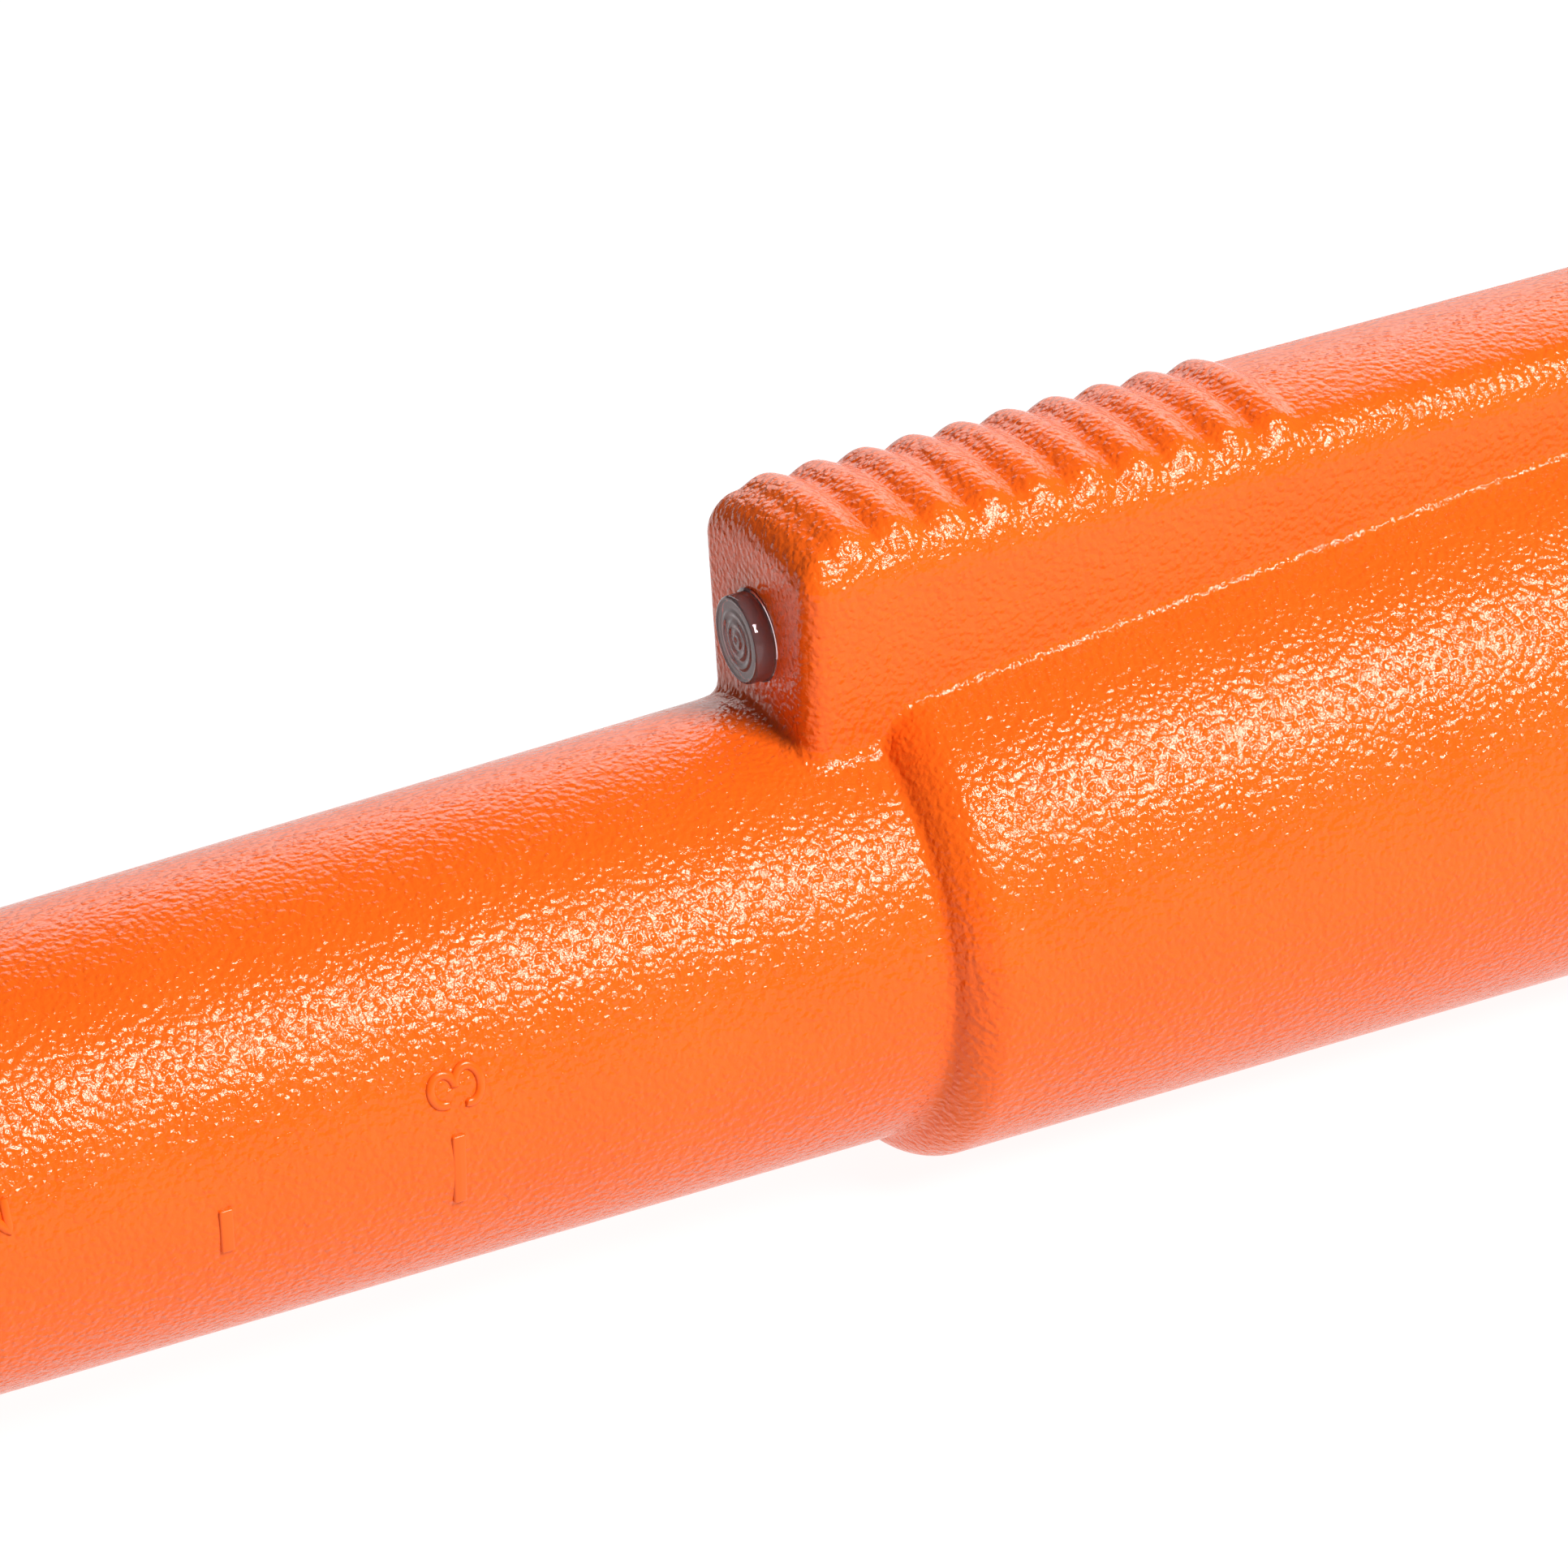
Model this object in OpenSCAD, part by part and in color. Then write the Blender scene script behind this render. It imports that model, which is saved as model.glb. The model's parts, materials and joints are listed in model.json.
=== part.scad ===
// Handheld metal-detecting pinpointer: a slim probe with a coil set in its tip, a thicker
// grip behind it with a raised spine, and a screw cap over the battery bay.
// The probe lies along +X with its tip at the low end. +Z is up, through the spine and its button.
// Sizes are in millimetres. The belly flat lies in the plane z = 0.

/* [Probe] */
// Length of the probe, from its tip to the step where the grip starts
probe_len = 105; // [95:0.5:130]
// Radius of the probe behind its rounded tip
tip_r = 10.9; // [10.5:0.05:12]
// Radius of the probe at the step
root_r = 12.55; // [11.5:0.05:13.5]
// Radius of the rounded edge of the tip
tip_round = 4; // [1:0.1:6]
// Thickness of the closed end of the probe
nose_wall = 2.4; // [1.5:0.1:4]
// Radius of the bore that takes the coil set
probe_bore_r = 8.6; // [7.8:0.05:8.8]
// Height of the raised ruler lines over the probe
ruler_raise = 0.15; // [0.05:0.05:0.3]

/* [Grip] */
// Length of the grip along its own axis, from the step to its tail face
grip_len = 100; // [83:0.5:125]
// Radius of the grip at the step
grip_front_r = 14.4; // [13.5:0.05:15.5]
// Radius of the grip at its tail face
grip_tail_r = 19.6; // [19.2:0.05:21]
// Height by which the grip's axis climbs from the step to its tail face
grip_rise = 4.01; // [2:0.01:5]
// Angle by which the face of the step leans
step_lean = 5; // [0:0.5:8]
// Wall of the grip
wall = 2; // [1.6:0.1:2.2]
// Distance of the flat belly below the probe's axis
belly_drop = 14.55; // [14.3:0.05:14.8]

/* [Spine] */
// Length of the spine ahead of the step
spine_ahead = 4.5; // [1:0.1:12]
// Height of the spine's crown over the probe's axis
spine_top = 23.5; // [23.5:0.1:26]
// Half width of the spine at its foot, where it leaves the probe
spine_foot_w = 5.6; // [5:0.1:6.5]
// Half width of the spine below its rounded top edges
spine_head_w = 6.2; // [5.2:0.1:6.6]
// Radius of the spine's long top edges and upright front edges
spine_round = 2.2; // [1:0.1:2.4]
// Radius of the crown across the spine
crown_r = 16; // [12:1:40]
// Half width of the channel inside the spine
channel_w = 3.9; // [3.8:0.05:4]
// Thickness of the spine's roof at its middle
roof = 2.5; // [2:0.1:3]
// Number of thumb ribs
ribs = 10; // [4:1:12]
// Distance from one thumb rib to the next
rib_pitch = 2.84; // [2.4:0.02:3.2]
// Height of the thumb ribs
rib_h = 0.4; // [0.2:0.05:0.8]

/* [Lamp] */
// Radius of the clear lens
lens_r = 2.4; // [2:0.05:2.9]
// Height of the lens over the probe's axis
lens_z = 16.65; // [16:0.05:17.5]
// How far the lens stands out of the spine's front face
lens_proud = 1.15; // [0.5:0.05:2]

/* [Button] */
// Length of the power button
button_len = 14.9; // [11:0.1:16]
// Width of the power button
button_w = 5.8; // [4:0.1:6]
// Height of the button over the crown
button_proud = 0.8; // [0.7:0.05:1.5]
// Travel of the button
button_travel = 0.6; // [0.3:0.05:0.7]

/* [Coils] */
// Radius of the ferrite rod
ferrite_r = 4; // [3:0.1:4.4]
// Length of the ferrite rod
ferrite_len = 54; // [40:0.5:60]
// Length of the wire winding in each bay of the bobbin
winding_len = 14.4; // [10:0.1:15]
// Depth of the windings
winding_depth = 2.2; // [1:0.1:2.8]

/* [Battery] */
// Length of the battery without its snaps
battery_len = 46.4; // [44:0.1:48]
// Width of the battery
battery_w = 26.5; // [25:0.1:26.8]
// Thickness of the battery
battery_t = 17.5; // [16.5:0.1:17.8]
// Distance between the two battery snaps
snap_pitch = 12.7; // [12:0.1:13]

/* [Cap] */
// Length of the cap's sleeve inside the grip
sleeve_len = 10; // [7:0.1:12]
// Thickness of the cap's end wall
cap_end_wall = 2.2; // [1.6:0.1:4]
// Number of finger flutes round the cap
flutes = 18; // [8:1:24]
// Radius of the lanyard hole
lanyard_r = 2.2; // [1.5:0.1:2.6]
// Thickness of the lanyard eye
eye_t = 6; // [4:0.5:8]

/* [Fits] */
// Radial clearance of the cap in the grip, and of other turning fits
run_gap = 0.1; // [0.05:0.01:0.1]
// Clearance beside still pieces
seat_gap = 0.1; // [0.05:0.01:0.2]
// Clearance round the button
button_gap = 0.15; // [0.1:0.01:0.25]

/* [Hidden] */
$fn = 64;
inch = 25.4;
big = 60;
// Angle by which the grip's axis climbs away from the probe's axis
grip_tilt = asin(grip_rise / grip_len);
// Place of the spine's front face
spine_front_x = probe_len - spine_ahead;
// Coil set
foam_x = nose_wall + seat_gap;
foam_len = 3.4;
ferrite_x = foam_x + foam_len + seat_gap;
flange_t = 1.2;
bobbin_tube_r = ferrite_r + 1.1;
bobbin_x = ferrite_x + 2;
bay_pitch = winding_len + flange_t + 2 * seat_gap;
bobbin_end = bobbin_x + 3 * bay_pitch + flange_t;
// Board and its carrier
board_t = 1.6;
board_x = bobbin_end + 8;
probe_board_w = 7.4;
grip_board_w = 10.8;
wide_x = probe_len + 6;
tray_z = -3.4;
tray_t = 1.8;
// Channel inside the spine
roof_z = spine_top - roof;
channel_x = spine_front_x + 2.2;
// Battery bay, along the grip's axis
bay_x = grip_len - 31.8;
snap_h = 2.1;
snap_plate_t = 1.2;
snap_plate_x = bay_x - seat_gap - snap_h - snap_plate_t;
bulkhead_t = 2.4;
screw_head_h = 1.2;
bulkhead_x = snap_plate_x - seat_gap - bulkhead_t;
lead_r = 0.6;
lead_x = bulkhead_x - 3;
lead_z = board_t + 0.05 + lead_r - lead_x * sin(grip_tilt);
shelf_t = 0.8;
shelf_z = battery_t / 2 + 0.2;
shelf_w = 8.6;
// Button, boot and switch stack, from the roof down
button_x = probe_len + bulkhead_x - 4;
button_flange_z = roof_z - 0.7;
boot_top_z = button_flange_z - 0.05;
boot_h = 2.05;
boot_z = boot_top_z - boot_h;
boot_flange_t = 0.8;
boot_len = 22;
frame_t = 1.15;
frame_z = boot_z - 0.05 - frame_t;
switch_w = 6;
switch_top_z = boot_z - 0.9;
switch_h = 2.8;
switch_board_t = 1;
switch_board_z = switch_top_z - switch_h - switch_board_t;
stem_r = 1.6;
stem_top_z = boot_top_z - 0.65;
frame_screw_off = 9;
// Motor
motor_r = 3;
motor_len = 11;
motor_x = probe_len + 13;
motor_z = tray_z - motor_r - 0.8;
shaft_r = 0.5;
shaft_proud = 6.5;
// Speaker
speaker_r = 7.5;
speaker_t = 3;
speaker_x = bay_x + 12;
speaker_z = shelf_z + shelf_t + 0.05;
// Cap
pad_t = 2.6;
pad_r = 12;
cap_face_x = grip_len + 0.4;
cap_inner_x = bay_x + battery_len + pad_t + 0.4;
cap_end_x = cap_inner_x + cap_end_wall;
sleeve_r = grip_tail_r - 2;
sleeve_bore_r = sleeve_r - 1.3;
collar_r = sleeve_r + 0.4;
collar_len = 4.5;
ring_r = 0.55;
eye_r = lanyard_r + 2.4;
eye_x = cap_end_x + lanyard_r + 0.8;
total_len = probe_len + eye_x * cos(grip_tilt) + eye_r;

// Outer and inner radius of the grip at a distance along its axis
function grip_r(x) = grip_front_r + (grip_tail_r - grip_front_r) * x / grip_len;
function grip_in_r(x) = grip_r(x) - wall;
// Radius of the probe at a distance from its tip
function probe_r(x) = tip_r + (root_r - tip_r) * x / probe_len;
// Points of an arc round a centre, from one angle to another
function arc(cx, cy, r, from, to, steps = 8) =
    [for (i = [0:steps]) let (a = from + (to - from) * i / steps) [cx + r * cos(a), cy + r * sin(a)]];

// Moves the design, drawn from the probe's tip and axis, to its place over the belly plane
module place() {
    translate([-total_len / 2, 0, belly_drop]) children();
}

// Frame of the grip: x along its axis from the step, z up
module along_grip() {
    translate([probe_len, 0, 0]) rotate([0, -grip_tilt, 0]) children();
}

// Round bar along x
module rod(r, from, to) {
    translate([from, 0, 0]) rotate([0, 90, 0]) cylinder(r = r, h = to - from);
}

// Round tube along x
module tube(r, bore, from, to) {
    difference() {
        rod(r, from, to);
        rod(bore, from - 1, to + 1);
    }
}

// Cone along x
module taper(r1, r2, from, to) {
    translate([from, 0, 0]) rotate([0, 90, 0]) cylinder(r1 = r1, r2 = r2, h = to - from);
}

// Box centred on y
module block(x0, x1, half_w, z0, z1) {
    translate([x0, -half_w, z0]) cube([x1 - x0, 2 * half_w, z1 - z0]);
}

// Upright prism with round ends, along x, centred on its own middle
module stadium(len, w, z0, z1) {
    translate([0, 0, z0]) {
        for (s = [-1, 1]) translate([s * (len - w) / 2, 0, 0]) cylinder(d = w, h = z1 - z0);
        translate([-(len - w) / 2, -w / 2, 0]) cube([len - w, w, z1 - z0]);
    }
}

// Screw standing on its point: shank up from z0, head of the given height on top
module screw(r, head_r, z0, head_z, head_h) {
    translate([0, 0, z0]) cylinder(r = r, h = head_z - z0);
    translate([0, 0, head_z]) difference() {
        cylinder(r = head_r, h = head_h);
        translate([0, 0, head_h / 2]) cylinder(r = head_r * 0.45, h = head_h, $fn = 6);
    }
}

// Everything under the belly plane
module under_belly() {
    translate([-big, -big, -belly_drop - big]) cube([total_len + 2 * big, 2 * big, big]);
}

// Outside of the probe with its rounded tip
module probe_outside() {
    rotate([0, 90, 0]) rotate_extrude()
        polygon(concat([[0, 0]],
            arc(tip_r - tip_round, tip_round, tip_round, -90, 0),
            [[root_r, probe_len], [root_r, probe_len + 3], [0, probe_len + 3]]));
}

// Outside of the grip, with the leaning face of its step
module grip_outside() {
    difference() {
        along_grip() taper(grip_r(-3), grip_tail_r, -3, grip_len);
        translate([probe_len, 0, 0]) rotate([0, step_lean, 0])
            translate([-big, -big, -big]) cube([big, 2 * big, 2 * big]);
    }
}

// Section of the spine across the grip: slightly leaning flanks, rounded edges and a crowned top
module spine_section() {
    edge_y = spine_head_w - spine_round;
    edge_z = spine_top - edge_y * edge_y / (2 * crown_r) - spine_round;
    lean = asin(edge_y / crown_r);
    half = concat([[spine_foot_w, 0], [spine_foot_w, 11]],
        arc(edge_y, edge_z, spine_round, 4, 90 - lean),
        [for (i = [1:3]) let (y = edge_y * (1 - i / 4)) [y, spine_top - y * y / (2 * crown_r)]]);
    polygon(concat(half, [[0, spine_top]],
        [for (i = [len(half) - 1:-1:0]) [-half[i][0], half[i][1]]]));
}

// Spine: its section carried along x, inside a plan outline with rounded front corners
module spine_outside() {
    tail_x = probe_len + grip_len;
    corner_y = max(spine_foot_w, spine_head_w) - spine_round;
    corner_x = spine_front_x + spine_round;
    intersection() {
        translate([spine_front_x, 0, 0]) rotate([90, 0, 90])
            linear_extrude(height = tail_x - spine_front_x) spine_section();
        linear_extrude(height = big)
            polygon(concat(arc(corner_x, corner_y, spine_round, 180, 90),
                [[tail_x, corner_y + spine_round], [tail_x, -corner_y - spine_round]],
                arc(corner_x, -corner_y, spine_round, 270, 180)));
        along_grip() translate([-big, -big, -big]) cube([grip_len + big, 2 * big, 2 * big]);
    }
}

// Thumb ribs across the crown
module thumb_ribs() {
    rib_r = rib_pitch / 2;
    for (i = [0:ribs - 1])
        translate([spine_front_x + 3.3 + i * rib_pitch, 0, spine_top + rib_h - rib_r])
            rotate([90, 0, 0]) cylinder(r = rib_r, h = 2 * (spine_head_w - spine_round), center = true);
}

// Raised ruler lines on the side of the probe: a long one each inch and a short one between
module ruler_lines() {
    for (i = [1:6]) {
        x = i * inch / 2;
        long = i % 2 == 0;
        intersection() {
            taper(probe_r(x - 1) + ruler_raise, probe_r(x + 1) + ruler_raise, x - 1, x + 1);
            translate([x - 0.4, -big / 2, long ? -4 : -2.6]) cube([0.8, big / 2, long ? 4.1 : 2.5]);
        }
    }
}

// Space inside the housing
module housing_space() {
    rod(probe_bore_r, nose_wall, probe_len + 4);
    along_grip() {
        taper(grip_in_r(2), grip_in_r(grip_len - sleeve_len - 1), 2, grip_len - sleeve_len - 1);
        rod(sleeve_r + run_gap, grip_len - sleeve_len - 1, grip_len + 1);
        rod(collar_r + run_gap, grip_len - collar_len - 0.4, grip_len + 1);
    }
    block(channel_x, probe_len + 10, channel_w, lens_z - 4.2, roof_z);
    block(probe_len + 5, button_x + boot_len / 2 + 3, channel_w, 8, roof_z);
    translate([0, 0, lens_z]) rod(lens_r + seat_gap, spine_front_x - 2, channel_x + 1);
    translate([button_x, 0, 0])
        stadium(button_len + 2 * button_gap, button_w + 2 * button_gap, roof_z - 1, spine_top + 1);
    sound_holes();
}

// Sound holes over the speaker
module sound_holes() {
    hole_r = 0.6;
    ring = 2.3;
    translate([probe_len + speaker_x, 0, spine_top - 9]) {
        cylinder(r = hole_r, h = 12);
        for (i = [0:5]) rotate([0, 0, 60 * i]) translate([ring, 0, 0]) cylinder(r = hole_r, h = 12);
    }
}

// Cross ribs under the roof that hold the boot's flange down
module boot_stops() {
    for (s = [-1, 1])
        translate([button_x + s * (boot_len / 2 - 0.8), 0, 0])
            block(-0.7, 0.7, channel_w + 0.3, boot_z + boot_flange_t + 0.05, roof_z + 0.3);
}

module housing() {
    color("darkorange") place() difference() {
        union() {
            difference() {
                union() {
                    probe_outside();
                    grip_outside();
                    spine_outside();
                    thumb_ribs();
                    ruler_lines();
                }
                housing_space();
            }
            boot_stops();
        }
        under_belly();
    }
}

module led_lens() {
    color("lightcyan") place() translate([0, 0, lens_z]) {
        rod(lens_r, spine_front_x - lens_proud, channel_x + 0.85);
        rod(lens_r + 0.8, channel_x + 0.75, channel_x + 1.6);
    }
}

module lens_seal() {
    color("black") place() translate([0, 0, lens_z])
        tube(lens_r + 0.9, lens_r + 0.05, channel_x + 0.05, channel_x + 0.7);
}

module led() {
    body_x = channel_x + 1.7;
    leg_x = body_x + 4.4;
    color("white") place() {
        translate([0, 0, lens_z]) {
            rod(1.9, body_x + 2.8, body_x + 3.8);
            rod(1.5, body_x + 1.5, body_x + 3);
            translate([body_x + 1.5, 0, 0]) sphere(r = 1.5);
        }
        for (s = [-1, 1]) translate([0, s * 1.27, 0]) {
            translate([0, 0, lens_z]) rod(0.25, body_x + 3.5, leg_x + 0.25);
            translate([leg_x, 0, board_t + 0.05]) cylinder(r = 0.25, h = lens_z - board_t - 0.05);
        }
    }
}

module power_button() {
    color("dimgray") place() translate([button_x, 0, 0]) {
        stadium(button_len, button_w, button_flange_z + 0.3, spine_top + button_proud - 0.5);
        stadium(button_len - 1, button_w - 1, spine_top, spine_top + button_proud);
        stadium(button_len + 1.6, button_w + 1.2, button_flange_z, button_flange_z + 0.6);
    }
}

module button_boot() {
    color("black") place() translate([button_x, 0, 0]) difference() {
        union() {
            stadium(button_len - 2, button_w - 0.4, boot_z, boot_top_z);
            block(-boot_len / 2, boot_len / 2, channel_w - seat_gap, boot_z, boot_z + boot_flange_t);
        }
        stadium(button_len - 3.4, button_w - 1.8, boot_z - 1, boot_top_z - 0.6);
    }
}

module boot_frame() {
    color("gray") place() translate([button_x, 0, 0]) difference() {
        union() {
            block(-boot_len / 2, boot_len / 2, channel_w - seat_gap, frame_z, frame_z + frame_t);
            for (s = [-1, 1]) translate([s * frame_screw_off, 0, 0])
                block(-1.9, 1.9, channel_w - seat_gap, switch_board_z + switch_board_t + 0.05, frame_z + 0.1);
        }
        block(-switch_w / 2 - 0.4, switch_w / 2 + 0.4, switch_w / 2 + 0.3, frame_z - 1, frame_z + frame_t + 1);
        for (s = [-1, 1]) translate([s * frame_screw_off, 0, switch_board_z])
            cylinder(r = 0.85, h = 3.4);
    }
}

module switch_board() {
    color("seagreen") place() translate([button_x, 0, 0]) difference() {
        block(-boot_len / 2, boot_len / 2, channel_w - seat_gap, switch_board_z, switch_board_z + switch_board_t);
        for (s = [-1, 1]) translate([s * frame_screw_off, 0, switch_board_z - 1])
            cylinder(r = 0.9, h = 3);
    }
}

module switch_screws() {
    color("silver") place() for (s = [-1, 1])
        translate([button_x + s * frame_screw_off, 0, switch_board_z - 0.05]) rotate([180, 0, 0])
            screw(0.8, 1.5, -3.2, 0, 0.8);
}

module tact_switch() {
    color("slategray") place() translate([button_x, 0, 0]) difference() {
        block(-switch_w / 2, switch_w / 2, switch_w / 2, switch_board_z + switch_board_t, switch_top_z);
        translate([0, 0, switch_top_z - 1.3]) cylinder(r = stem_r + 0.08, h = 2);
    }
}

module switch_stem() {
    color("black") place() translate([button_x, 0, switch_top_z - 0.6])
        cylinder(r = stem_r, h = stem_top_z - switch_top_z + 0.6);
}

module switch_wires() {
    color("crimson") place() for (i = [-1:1])
        translate([button_x - 6, 1.6 * i, board_t + 0.05])
            cylinder(r = 0.35, h = switch_board_z - board_t - 0.1);
}

module tip_foam() {
    color("lightgray") place() rod(probe_bore_r - seat_gap, foam_x, foam_x + foam_len);
}

module ferrite_rod() {
    color("darkslategray") place() rod(ferrite_r, ferrite_x, ferrite_x + ferrite_len);
}

module coil_bobbin() {
    color("ivory") place() {
        tube(bobbin_tube_r, ferrite_r + 0.05, bobbin_x, bobbin_end);
        for (i = [0:3]) translate([bobbin_x + i * bay_pitch, 0, 0])
            tube(probe_bore_r - seat_gap, ferrite_r + 0.05, 0, flange_t);
    }
}

// Wire winding in one bay of the bobbin
module winding(bay, depth) {
    x = bobbin_x + bay * bay_pitch + flange_t + seat_gap;
    tube(bobbin_tube_r + 0.05 + depth, bobbin_tube_r + 0.05, x, x + winding_len);
}

module transmit_coil() {
    color("peru") place() winding(1, winding_depth);
}

module receive_coils() {
    color("sienna") place() for (bay = [0, 2]) winding(bay, winding_depth - 0.6);
}

module coil_leads() {
    wire_r = 0.4;
    inner_y = bobbin_tube_r - wire_r;
    color("royalblue") place() for (s = [-1, 1], y = [inner_y, inner_y + 1.6])
        translate([0, s * y, board_t + 0.05 + wire_r]) rod(wire_r, bobbin_end + seat_gap, board_x + 4);
}

// Places of the two screws that hold the board on its carrier
module at_board_screws() {
    for (x = [wide_x + 5, board_end_x() - 17]) translate([x, 0, 0]) children();
}

// Rear edge of the board, ahead of the leaning bulkhead
function board_end_x() = probe_len + bulkhead_x * cos(grip_tilt) - 1;

module main_board() {
    color("green") place() difference() {
        union() {
            block(board_x, wide_x + 1, probe_board_w, 0, board_t);
            block(wide_x, board_end_x(), grip_board_w, 0, board_t);
        }
        at_board_screws() translate([0, 0, -1]) cylinder(r = 1.1, h = board_t + 2);
    }
}

module chips() {
    color("black") place() {
        for (i = [0:2]) translate([board_x + 10 + i * 9, 0, 0])
            block(-3, 3, 2.6, board_t + 0.02, board_t + 1.5);
        for (s = [-1, 1]) translate([wide_x + 12, s * 5.5, 0])
            block(-3.5, 3.5, 3.5, board_t + 0.02, board_t + 1.6);
    }
}

module capacitors() {
    color("midnightblue") place() for (i = [0:2])
        translate([board_end_x() - 6 - i * 6, 7, board_t + 0.02]) cylinder(r = 2.5, h = 7);
}

module board_screws() {
    color("silver") place() at_board_screws() screw(1, 1.9, -2.2, board_t + 0.05, 1.2);
}

// Tray under the board, with rails, screw bosses, a motor cradle and two lugs for the bulkhead
module board_carrier() {
    tail_x = board_end_x() - 0.5;
    color("whitesmoke") place() difference() {
        union() {
            block(board_x, wide_x + 1, probe_board_w, tray_z, tray_z + tray_t);
            block(wide_x, tail_x, grip_board_w, tray_z, tray_z + tray_t);
            for (s = [-1, 1]) {
                translate([0, s * (probe_board_w - 0.6), 0])
                    block(board_x, wide_x + 0.5, 0.6, tray_z + 0.5, -0.05);
                translate([0, s * (grip_board_w - 0.6), 0])
                    block(wide_x, tail_x, 0.6, tray_z + 0.5, -0.05);
            }
            at_board_screws() translate([0, 0, tray_z + 0.5]) cylinder(r = 2.3, h = -0.05 - tray_z - 0.5);
            block(motor_x + 0.5, motor_x + motor_len - 0.5, motor_r + 1.2, motor_z, tray_z + 0.5);
            along_grip() for (s = [-1, 1]) translate([bulkhead_x, s * 6, 0])
                block(-7, -seat_gap, 1.8, -12.4, -4.5);
        }
        at_board_screws() translate([0, 0, -2.4]) cylinder(r = 1.05, h = 4);
        translate([0, 0, motor_z]) rod(motor_r + 0.05, motor_x - 1, motor_x + motor_len + 1);
        along_grip() for (s = [-1, 1]) translate([0, s * 6, -10.4])
            rod(1.05, bulkhead_x - 6, bulkhead_x + 1);
    }
}

module vibration_motor() {
    color("lightsteelblue") place() translate([0, 0, motor_z])
        tube(motor_r, shaft_r + 0.05, motor_x, motor_x + motor_len);
}

module motor_shaft() {
    color("silver") place() translate([0, 0, motor_z])
        rod(shaft_r, motor_x + 1, motor_x + motor_len + shaft_proud);
}

module motor_weight() {
    x0 = motor_x + motor_len + 1.5;
    color("goldenrod") place() translate([0, 0, motor_z]) difference() {
        intersection() {
            rod(motor_r - 0.2, x0, x0 + 4.5);
            block(x0 - 1, x0 + 5.5, motor_r, -motor_r, 0.9);
        }
        rod(shaft_r + 0.02, x0 - 1, x0 + 5.5);
    }
}

// Disc between the board and the battery, with a shelf over the battery for the speaker
module bulkhead() {
    color("whitesmoke") place() along_grip() difference() {
        union() {
            intersection() {
                rod(grip_in_r(bulkhead_x) - seat_gap, bulkhead_x, bulkhead_x + bulkhead_t);
                block(bulkhead_x - 1, bulkhead_x + bulkhead_t + 1, big, -big, shelf_z + shelf_t);
            }
            block(bulkhead_x + 0.5, speaker_x + speaker_r + 1, shelf_w, shelf_z, shelf_z + shelf_t);
        }
        for (s = [-1, 1]) {
            translate([0, s * 6, -10.4]) rod(1.15, bulkhead_x - 1, bulkhead_x + bulkhead_t + 1);
            translate([0, s * snap_pitch / 2, lead_z])
                rod(lead_r + seat_gap, bulkhead_x - 1, bulkhead_x + bulkhead_t + 1);
        }
    }
}

module bulkhead_screws() {
    color("silver") place() along_grip() for (s = [-1, 1])
        translate([bulkhead_x + bulkhead_t + 0.05, s * 6, -10.4]) rotate([0, 90, 0])
            screw(1, 1.9, -bulkhead_t - 5, 0, screw_head_h);
}

module speaker() {
    color("dimgray") place() along_grip() translate([speaker_x, 0, speaker_z])
        cylinder(r = speaker_r, h = speaker_t);
}

module speaker_gasket() {
    color("black") place() along_grip() translate([speaker_x, 0, speaker_z + speaker_t + 0.05])
        difference() {
            cylinder(r = 6.2, h = 1.9);
            translate([0, 0, -1]) cylinder(r = 4.8, h = 4);
        }
}

// Snap plate with a cup for each battery snap
module snap_connector() {
    color("black") place() along_grip() difference() {
        union() {
            block(snap_plate_x, snap_plate_x + snap_plate_t, 11.6, -7, 7);
            for (s = [-1, 1]) translate([0, s * snap_pitch / 2, 0])
                rod(4.4, snap_plate_x + 0.5, snap_plate_x + snap_plate_t + snap_h);
        }
        for (s = [-1, 1]) translate([0, s * snap_pitch / 2, 0])
            rod(2.95, snap_plate_x + snap_plate_t, snap_plate_x + big);
    }
}

module battery_leads() {
    color("crimson") place() along_grip() for (s = [-1, 1])
        translate([0, s * snap_pitch / 2, lead_z]) rod(lead_r, lead_x, snap_plate_x - 0.05);
}

module battery_jacket() {
    edge = 1.2;
    skin = 0.35;
    color("navy") place() along_grip() difference() {
        union() {
            translate([bay_x, -battery_w / 2 + edge, -battery_t / 2])
                cube([battery_len, battery_w - 2 * edge, battery_t]);
            translate([bay_x, -battery_w / 2, -battery_t / 2 + edge])
                cube([battery_len, battery_w, battery_t - 2 * edge]);
            for (sy = [-1, 1], sz = [-1, 1])
                translate([0, sy * (battery_w / 2 - edge), sz * (battery_t / 2 - edge)])
                    rod(edge, bay_x, bay_x + battery_len);
        }
        block(bay_x + 1.5, bay_x + battery_len - 1.5, battery_w / 2 - edge, -battery_t / 2 + skin,
            battery_t / 2 - skin);
        block(bay_x + 1.5, bay_x + battery_len - 1.5, battery_w / 2 - skin, -battery_t / 2 + edge,
            battery_t / 2 - edge);
    }
}

// Six small cells in two rows of three
module battery_cells() {
    cell_r = (battery_t - 0.7) / 4 - 0.06;
    color("silver") place() along_grip() for (i = [-1:1], s = [-1, 1])
        translate([0, i * (battery_w - 0.7) / 3, s * (battery_t - 0.7) / 4])
            rod(cell_r, bay_x + 1.6, bay_x + battery_len - 1.6);
}

module battery_snaps() {
    color("silver") place() along_grip() for (s = [-1, 1])
        translate([0, s * snap_pitch / 2, 0]) rod(2.85, bay_x - snap_h, bay_x - 0.02);
}

module pressure_pad() {
    color("dimgray") place() along_grip()
        rod(pad_r, bay_x + battery_len + 0.2, bay_x + battery_len + 0.2 + pad_t);
}

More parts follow.
